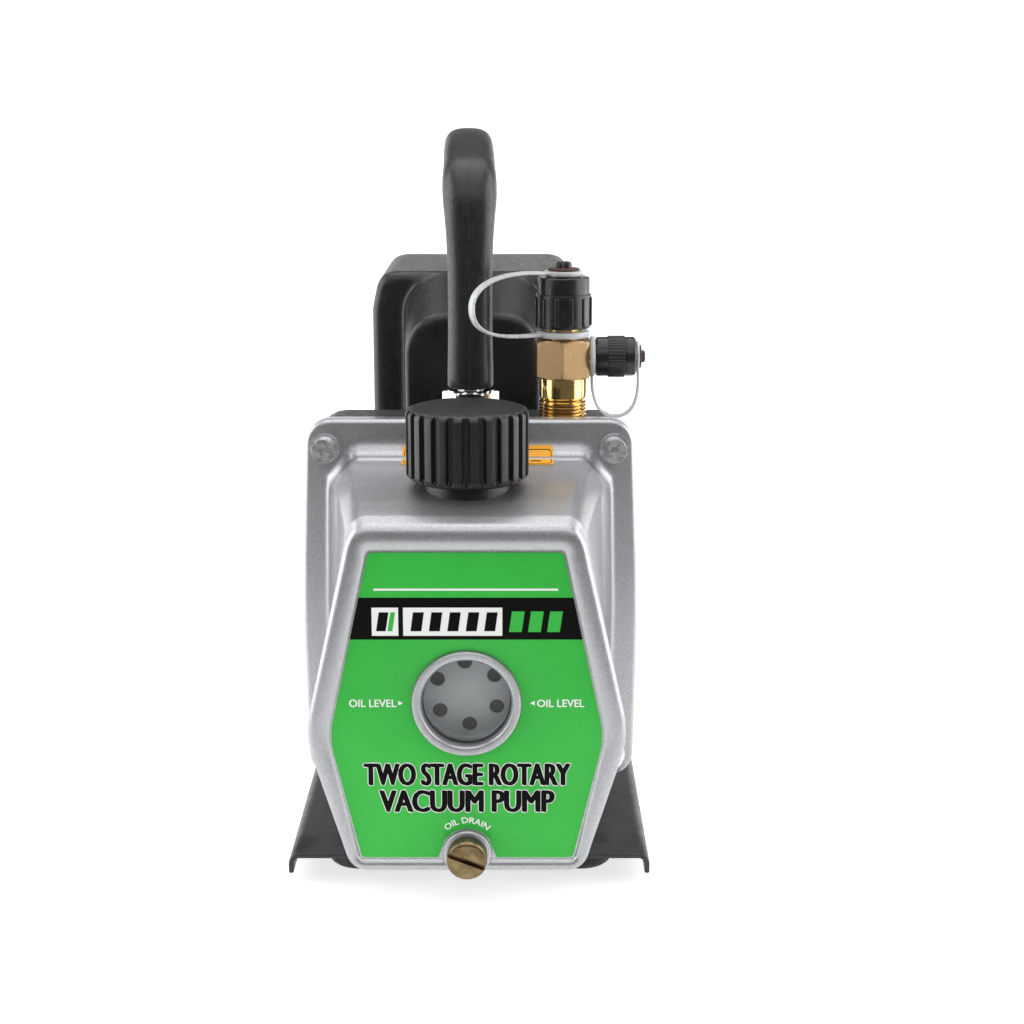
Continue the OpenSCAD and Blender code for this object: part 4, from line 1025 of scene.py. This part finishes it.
def side_tether():
    y, z = top_cap.y, side_cap.z
    route = curve_points([((44.6, 173.5), (44.2, 166), (46, 157.6), (53, 157.6)),
                          ((53, 157.6), (60, 157.6), (62.4, 164), (61.3, 175.5))], 18)
    path = [Vector((p[0], y, p[1])) for p in route]
    build = Build()
    sweep(build, path, [(w, h * 0.9) for w, h in strap_halves(len(path))], Vector((0, 1, 0)), 20, 4)
    flat_ring(build, (0, y, z), "x", 7.4, 4.9, 43.7, 45.5)
    flat_ring(build, (0, y, z), "x", 5.6, 2.3, 60.6, 61.6)
    obj = build.make("side_cap_strap", "strap", body=None, replaces=("side_cap_tether",), sharp=50)
    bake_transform(obj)
    return obj


# ---------- handle ----------

def bell_curve(x, width):
    return math.exp(-(x / width) ** 2)


def handle():
    """Grip and legs in one smooth sweep: slim legs, a squared front shoulder, a fuller grip, and a fine
    parting seam up the middle of the front leg."""
    f = flange_y
    low = node_box("handle_nut")[1].z + 0.6
    front, rear = 22, 170
    route = curve_points([((front, low + 1.3), (front, 188), (front, 207), (front, 225)),
                          ((front, 225), (front, 236.5), (26, 241.5), (38, 244.2)),
                          ((38, 244.2), (75, 252.4), (115, 253.2), (146, 245)),
                          ((146, 245), (162, 240.6), (rear, 234), (rear, 220)),
                          ((rear, 220), (rear, 214), (rear, 208), (rear, 204.3))], 20)
    reach = [0.0]
    for a, b in zip(route, route[1:]):
        reach.append(reach[-1] + (b - a).length)
    total, corner = reach[-1], reach[30]
    path, halves = [], []
    for i, p in enumerate(route):
        path.append(Vector((-4 * (p[0] - front) / (rear - front), f + p[0], p[1])))
        from_end = min(reach[i], total - reach[i])
        grip = ease((from_end - 38) / 42)
        shoulder = bell_curve(reach[i] - corner, 9)
        heel = bell_curve(from_end, 12)
        wide = 8.1 + 1.5 * grip + 0.5 * shoulder + 0.35 * heel
        halves.append((wide, 8.9 + 2.4 * shoulder, 8.7 - 0.3 * grip))
    up, side = Vector((0, 0, 1)), Vector((1, 0, 0))
    ends = ((-1.3, 0.78), (-1.15, 0.88), (-0.75, 0.95), (-0.2, 0.99))
    first = [(path[0] + up * h, tuple(v * k for v in halves[0])) for h, k in ends]
    last = [(path[-1] + up * h, tuple(v * k for v in halves[-1])) for h, k in reversed(ends)]
    path = [q for q, _ in first] + path[1:-1] + [q for q, _ in last]
    halves = [h for _, h in first] + halves[1:-1] + [h for _, h in last]
    build = Build()
    sweep(build, path, halves, side, 48, 2.9)
    seam = [(q, h) for q, h in zip(path, halves) if q.y < f + 60][3:]
    middle_line = [q for q, _ in seam]
    line = [q - heading(middle_line, i).cross(side).normalized() * (h[1] - 0.02)
            for i, (q, h) in enumerate(seam)]
    sweep(build, line, [(0.32, 0.14)] * len(line), side, 8, 2.0)
    return build.make("carry_handle", "handle_plastic", replaces=("handle",), sharp=60)


def handle_nut():
    low, high = node_box("handle_nut")
    across_flats, z0, z1 = 18.0, low.z, high.z
    sections = ((9.0, z0), (9.8, z0 + 0.5), (10.5, z0 + 0.9), (10.5, z1 - 1.2), (9.8, z1 - 0.7),
                (8.9, z1 - 0.2), (8.6, z1))
    centre = ((low.x + high.x) / 2, (low.y + high.y) / 2, 0)
    build = Build()
    build.loft([hexagon_ring(across_flats, r, z, centre, 96, 0) for r, z in sections], 0, True, True)
    return build.make("handle_lock_nut", "chrome", replaces=("handle_nut",), sharp=30)


# ---------- motor hood ----------

def hood_outline(y, shrink=0.0):
    parts = rounded_half([(41.7 - shrink, 116, 2), (41.7 - shrink, 187.5 - shrink * 0.5, 14),
                          (38.6 - shrink, 202.5 - shrink, 8)])
    return at_y(ring_from(parts, (8, 4, 14, 10, 8, 8, 10)), y)


def arch_outline(t, y, shrink=0.0):
    half, top = 26.4 + 2.1 * t - shrink, 190 + 12.5 * t - shrink
    parts = rounded_half([(half, 116, 2), (half, top, 15 - 0.6 * t)])
    return at_y(ring_from(parts, (8, 4, 14, 14, 10)), y)


def motor_hood():
    """Moulded cover: a wide box and a front tunnel, joined by a remesh that rounds inner corners."""
    f = flange_y
    build = Build()
    y0, y1 = f + 100, f + 183
    edge = ((3.2, 0.0), (1.6, 0.5), (0.6, 1.6), (0, 3.2))
    rings = [hood_outline(y0 + d, s) for s, d in edge] + [hood_outline(y1 - d, s) for s, d in reversed(edge)]
    build.loft(rings, 0, True, True)
    a0, a1 = f + 62, f + 104
    rings = [arch_outline(0, a0 + d, s) for s, d in ((1.4, 0.0), (0.5, 0.4), (0, 1.4))]
    rings += [arch_outline(k / 10, a0 + 1.4 + (a1 - a0 - 1.4) * k / 10) for k in range(1, 11)]
    build.loft(rings, 0, True, True)
    obj = build.make("hood_cover", "hood_plastic", body=None, replaces=("motor_hood",), sharp=60)
    remesh = obj.modifiers.new("join", "REMESH")
    remesh.mode, remesh.voxel_size = "VOXEL", 0.9 * MM
    smooth = obj.modifiers.new("round", "SMOOTH")
    smooth.factor, smooth.iterations = 0.5, 14
    bake_modifiers(obj)
    cut = Build()
    bore = [(HOOD_BORE_R * math.cos(a), SHAFT_Z + HOOD_BORE_R * math.sin(a)) for a in turns(96)]
    cut.prism(bore, f + 50, f + 200)
    subtract(obj, cut)
    finish_mesh(obj.data, 50, False)
    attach(obj, ROOT)
    return obj


# ---------- base ----------

def base_plate():
    """Bent sheet: one profile across, pushed along Y, with its ends' edges broken."""
    half, top, lip, bend = base_high.x, base_high.z, base_low.z, 4.0
    y0, y1 = base_low.y, base_high.y

    def profile(d):
        out = []
        for s, rng in ((1, range(13)), (-1, range(12, -1, -1))):
            for k in rng:
                a = math.pi / 2 * k / 12
                x, z = half - bend + (bend - d) * math.cos(a), top - bend + (bend - d) * math.sin(a)
                out.append(Vector((s * x, z)))
        return out

    outer, inner = profile(0.0), profile(BASE_SHEET)
    r = 0.7
    lip_right = [Vector((half - BASE_SHEET + r * u, lip + r * v)) for u, v in ((0, 1), (0.2, 0.3), (0.8, 0))]
    lip_right += [Vector((half - r * u, lip + r * v)) for u, v in ((0.8, 0), (0.2, 0.3), (0, 1))]
    lip_left = [Vector((-p.x, p.y)) for p in reversed(lip_right)]
    ring = outer + lip_left + inner[::-1] + lip_right
    steps = [(0.35, y0), (0.1, y0 + 0.12), (0, y0 + 0.4)]
    steps += [(0, y0 + (y1 - y0) * k / 12) for k in range(1, 12)]
    steps += [(0, y1 - 0.4), (0.1, y1 - 0.12), (0.35, y1)]
    build = Build()
    build.loft([at_y(grown(ring, -d), y) for d, y in steps], 0, True, True)
    return build.make("base_sheet", "base_paint", replaces=("base_plate",), sharp=45)


def rubber_feet():
    low, high = node_box("rubber_feet")
    h = base_high.z - BASE_SHEET
    r = foot_r
    build = Build()
    prof = [(3, h), (3, 4.2), (5, 4.2), (5, 0.5), (5.3, 0.1), (6.2, 0), (9.2, 0.0), (r - 2.2, 0.35),
            (r - 1.3, 1.1), (r - 0.7, 2.4), (r - 0.2, 4.2), (r, 6.2), (r, h - 0.3), (r - 0.3, h), (3, h)]
    for x in (low.x + FOOT_CAD_R, high.x - FOOT_CAD_R):
        for y in (low.y + FOOT_CAD_R, high.y - FOOT_CAD_R):
            build.lathe(prof, (x, y, 0), "z", 64)
    return build.make("foot_set", "black_rubber", replaces=("rubber_feet",), sharp=45)


# ---------- carried-over CAD nodes ----------

def carried_over():
    """CAD nodes that keep their shape get a material, and those that show get broken edges."""
    visible = {"pump_bracket": 0.8, "motor_housing": 0.4, "front_end_bell": 0.5, "rear_end_bell": 0.5,
               "fan_cover": 0.5, "fan_cover_screws": 0.15, "power_inlet": 0.3, "switch_bezel": 0.4,
               "switch_rocker": 0.4, "tank_screws": 0.18, "base_screws": 0.2, "tank_gasket": 0,
               "sight_glass_lens": 0.3, "sight_glass_reflector": 0.15, "cooling_fan": 0.3, "motor_bolts": 0.2,
               "handle_screws": 0, "stator_core": 0}
    replaced = {"oil_tank", "front_label", "caution_label", "filler_cap", "filler_neck", "drain_plug",
                "intake_fitting", "top_flare_cap", "side_flare_cap", "top_cap_tether", "side_cap_tether",
                "handle", "handle_nut", "motor_hood", "base_plate", "rubber_feet"}
    for name in frame["nodes"]:
        if name not in replaced:
            tuned_node(name, visible.get(name, 0))


# ---------- stage ----------

def light(name, place, target, energy, size, size_y):
    data = bpy.data.lights.new(name, "AREA")
    data.energy = energy
    data.shape, data.size, data.size_y = "RECTANGLE", size, size_y
    obj = linked(name, data)
    obj.location = place
    obj.rotation_euler = (Vector(target) - Vector(place)).to_track_quat("-Z", "Y").to_euler()


def stage():
    """White sweep: a floor that curves up into a low wall behind the pump."""
    width, turn_y, turn_r, top = 3.2, 1.5, 0.35, 0.52
    outline = [(-0.42, 0.0), (turn_y, 0.0)]
    outline += [(turn_y + turn_r * math.sin(a), turn_r * (1 - math.cos(a)))
                for a in [math.pi / 2 * k / 12 for k in range(1, 13)]]
    outline.append((turn_y + turn_r, top))
    mesh = bpy.data.meshes.new("floor")
    verts = [(sx * width, y, z) for y, z in outline for sx in (-1, 1)]
    mesh.from_pydata(verts, [], [(2 * i, 2 * i + 1, 2 * i + 3, 2 * i + 2) for i in range(len(outline) - 1)])
    for f in mesh.polygons:
        f.use_smooth = True
    mesh.materials.append(pale_floor())
    floor = linked("floor", mesh)
    world = bpy.data.worlds.new("studio")
    world.use_nodes = True
    back = world.node_tree.nodes["Background"]
    back.inputs["Color"].default_value = (1, 1, 1, 1)
    back.inputs["Strength"].default_value = 0.16
    bpy.context.scene.world = world
    centre = (0, 0, 0.12)
    light("left_wall", (-0.95, 0.0, 0.35), centre, 15, 1.3, 1.2)
    light("right_wall", (0.95, 0.0, 0.35), centre, 15, 1.3, 1.2)
    light("top_box", (0.0, 0.0, 2.1), centre, 30, 2.2, 2.2)
    light("back_wash", (0.0, 1.0, 1.5), (0, 1.8, 0.15), 16, 2.4, 0.5)
    light("front_top", (0.0, -1.2, 1.2), centre, 7, 1.8, 0.8)


def camera():
    """Long lens a little right of the pump's middle, looking slightly down."""
    data = bpy.data.cameras.new("camera")
    data.sensor_width = 36
    data.lens = 65.04
    data.clip_start, data.clip_end = 0.02, 50
    obj = linked("camera", data)
    obj.location = (0.0152, (flange_y - 650.6) * MM, 0.2797)
    obj.rotation_euler = (math.radians(90 - 13.26), 0, 0)
    bpy.context.scene.camera = obj


camera()
stage()
carried_over()
oil_tank()
sight_ring()
sight_shade()
drain_boss()
front_label()
label_band()
label_marks()
headline("label_word_stage", "TWO STAGE ROTARY", 46.8, 69)
headline("label_word_pump", "VACUUM PUMP", 37.2, 58.5)
for side, at in (("left", -31.4), ("right", 31.4)):
    word("label_word_level_" + side, "OIL LEVEL", at, sight.z - 1.3, 2.6, MARK_WHITE, 15.8,
         offsets(0.09, 0.05, 3))
word("label_word_drain", "OIL DRAIN", 0, drain.z + 11.0, 2.1, MARK_WHITE, 14.8, offsets(0.07, 0.05, 3),
     bend_r=9.6)
caution_label()
filler_cap()
filler_neck()
drain_plug()
intake_fitting()
top_cap_piece()
side_cap_piece()
top_tether()
side_tether()
handle()
handle_nut()
motor_hood()
base_plate()
rubber_feet()
bpy.context.scene.view_settings.view_transform = "Standard"
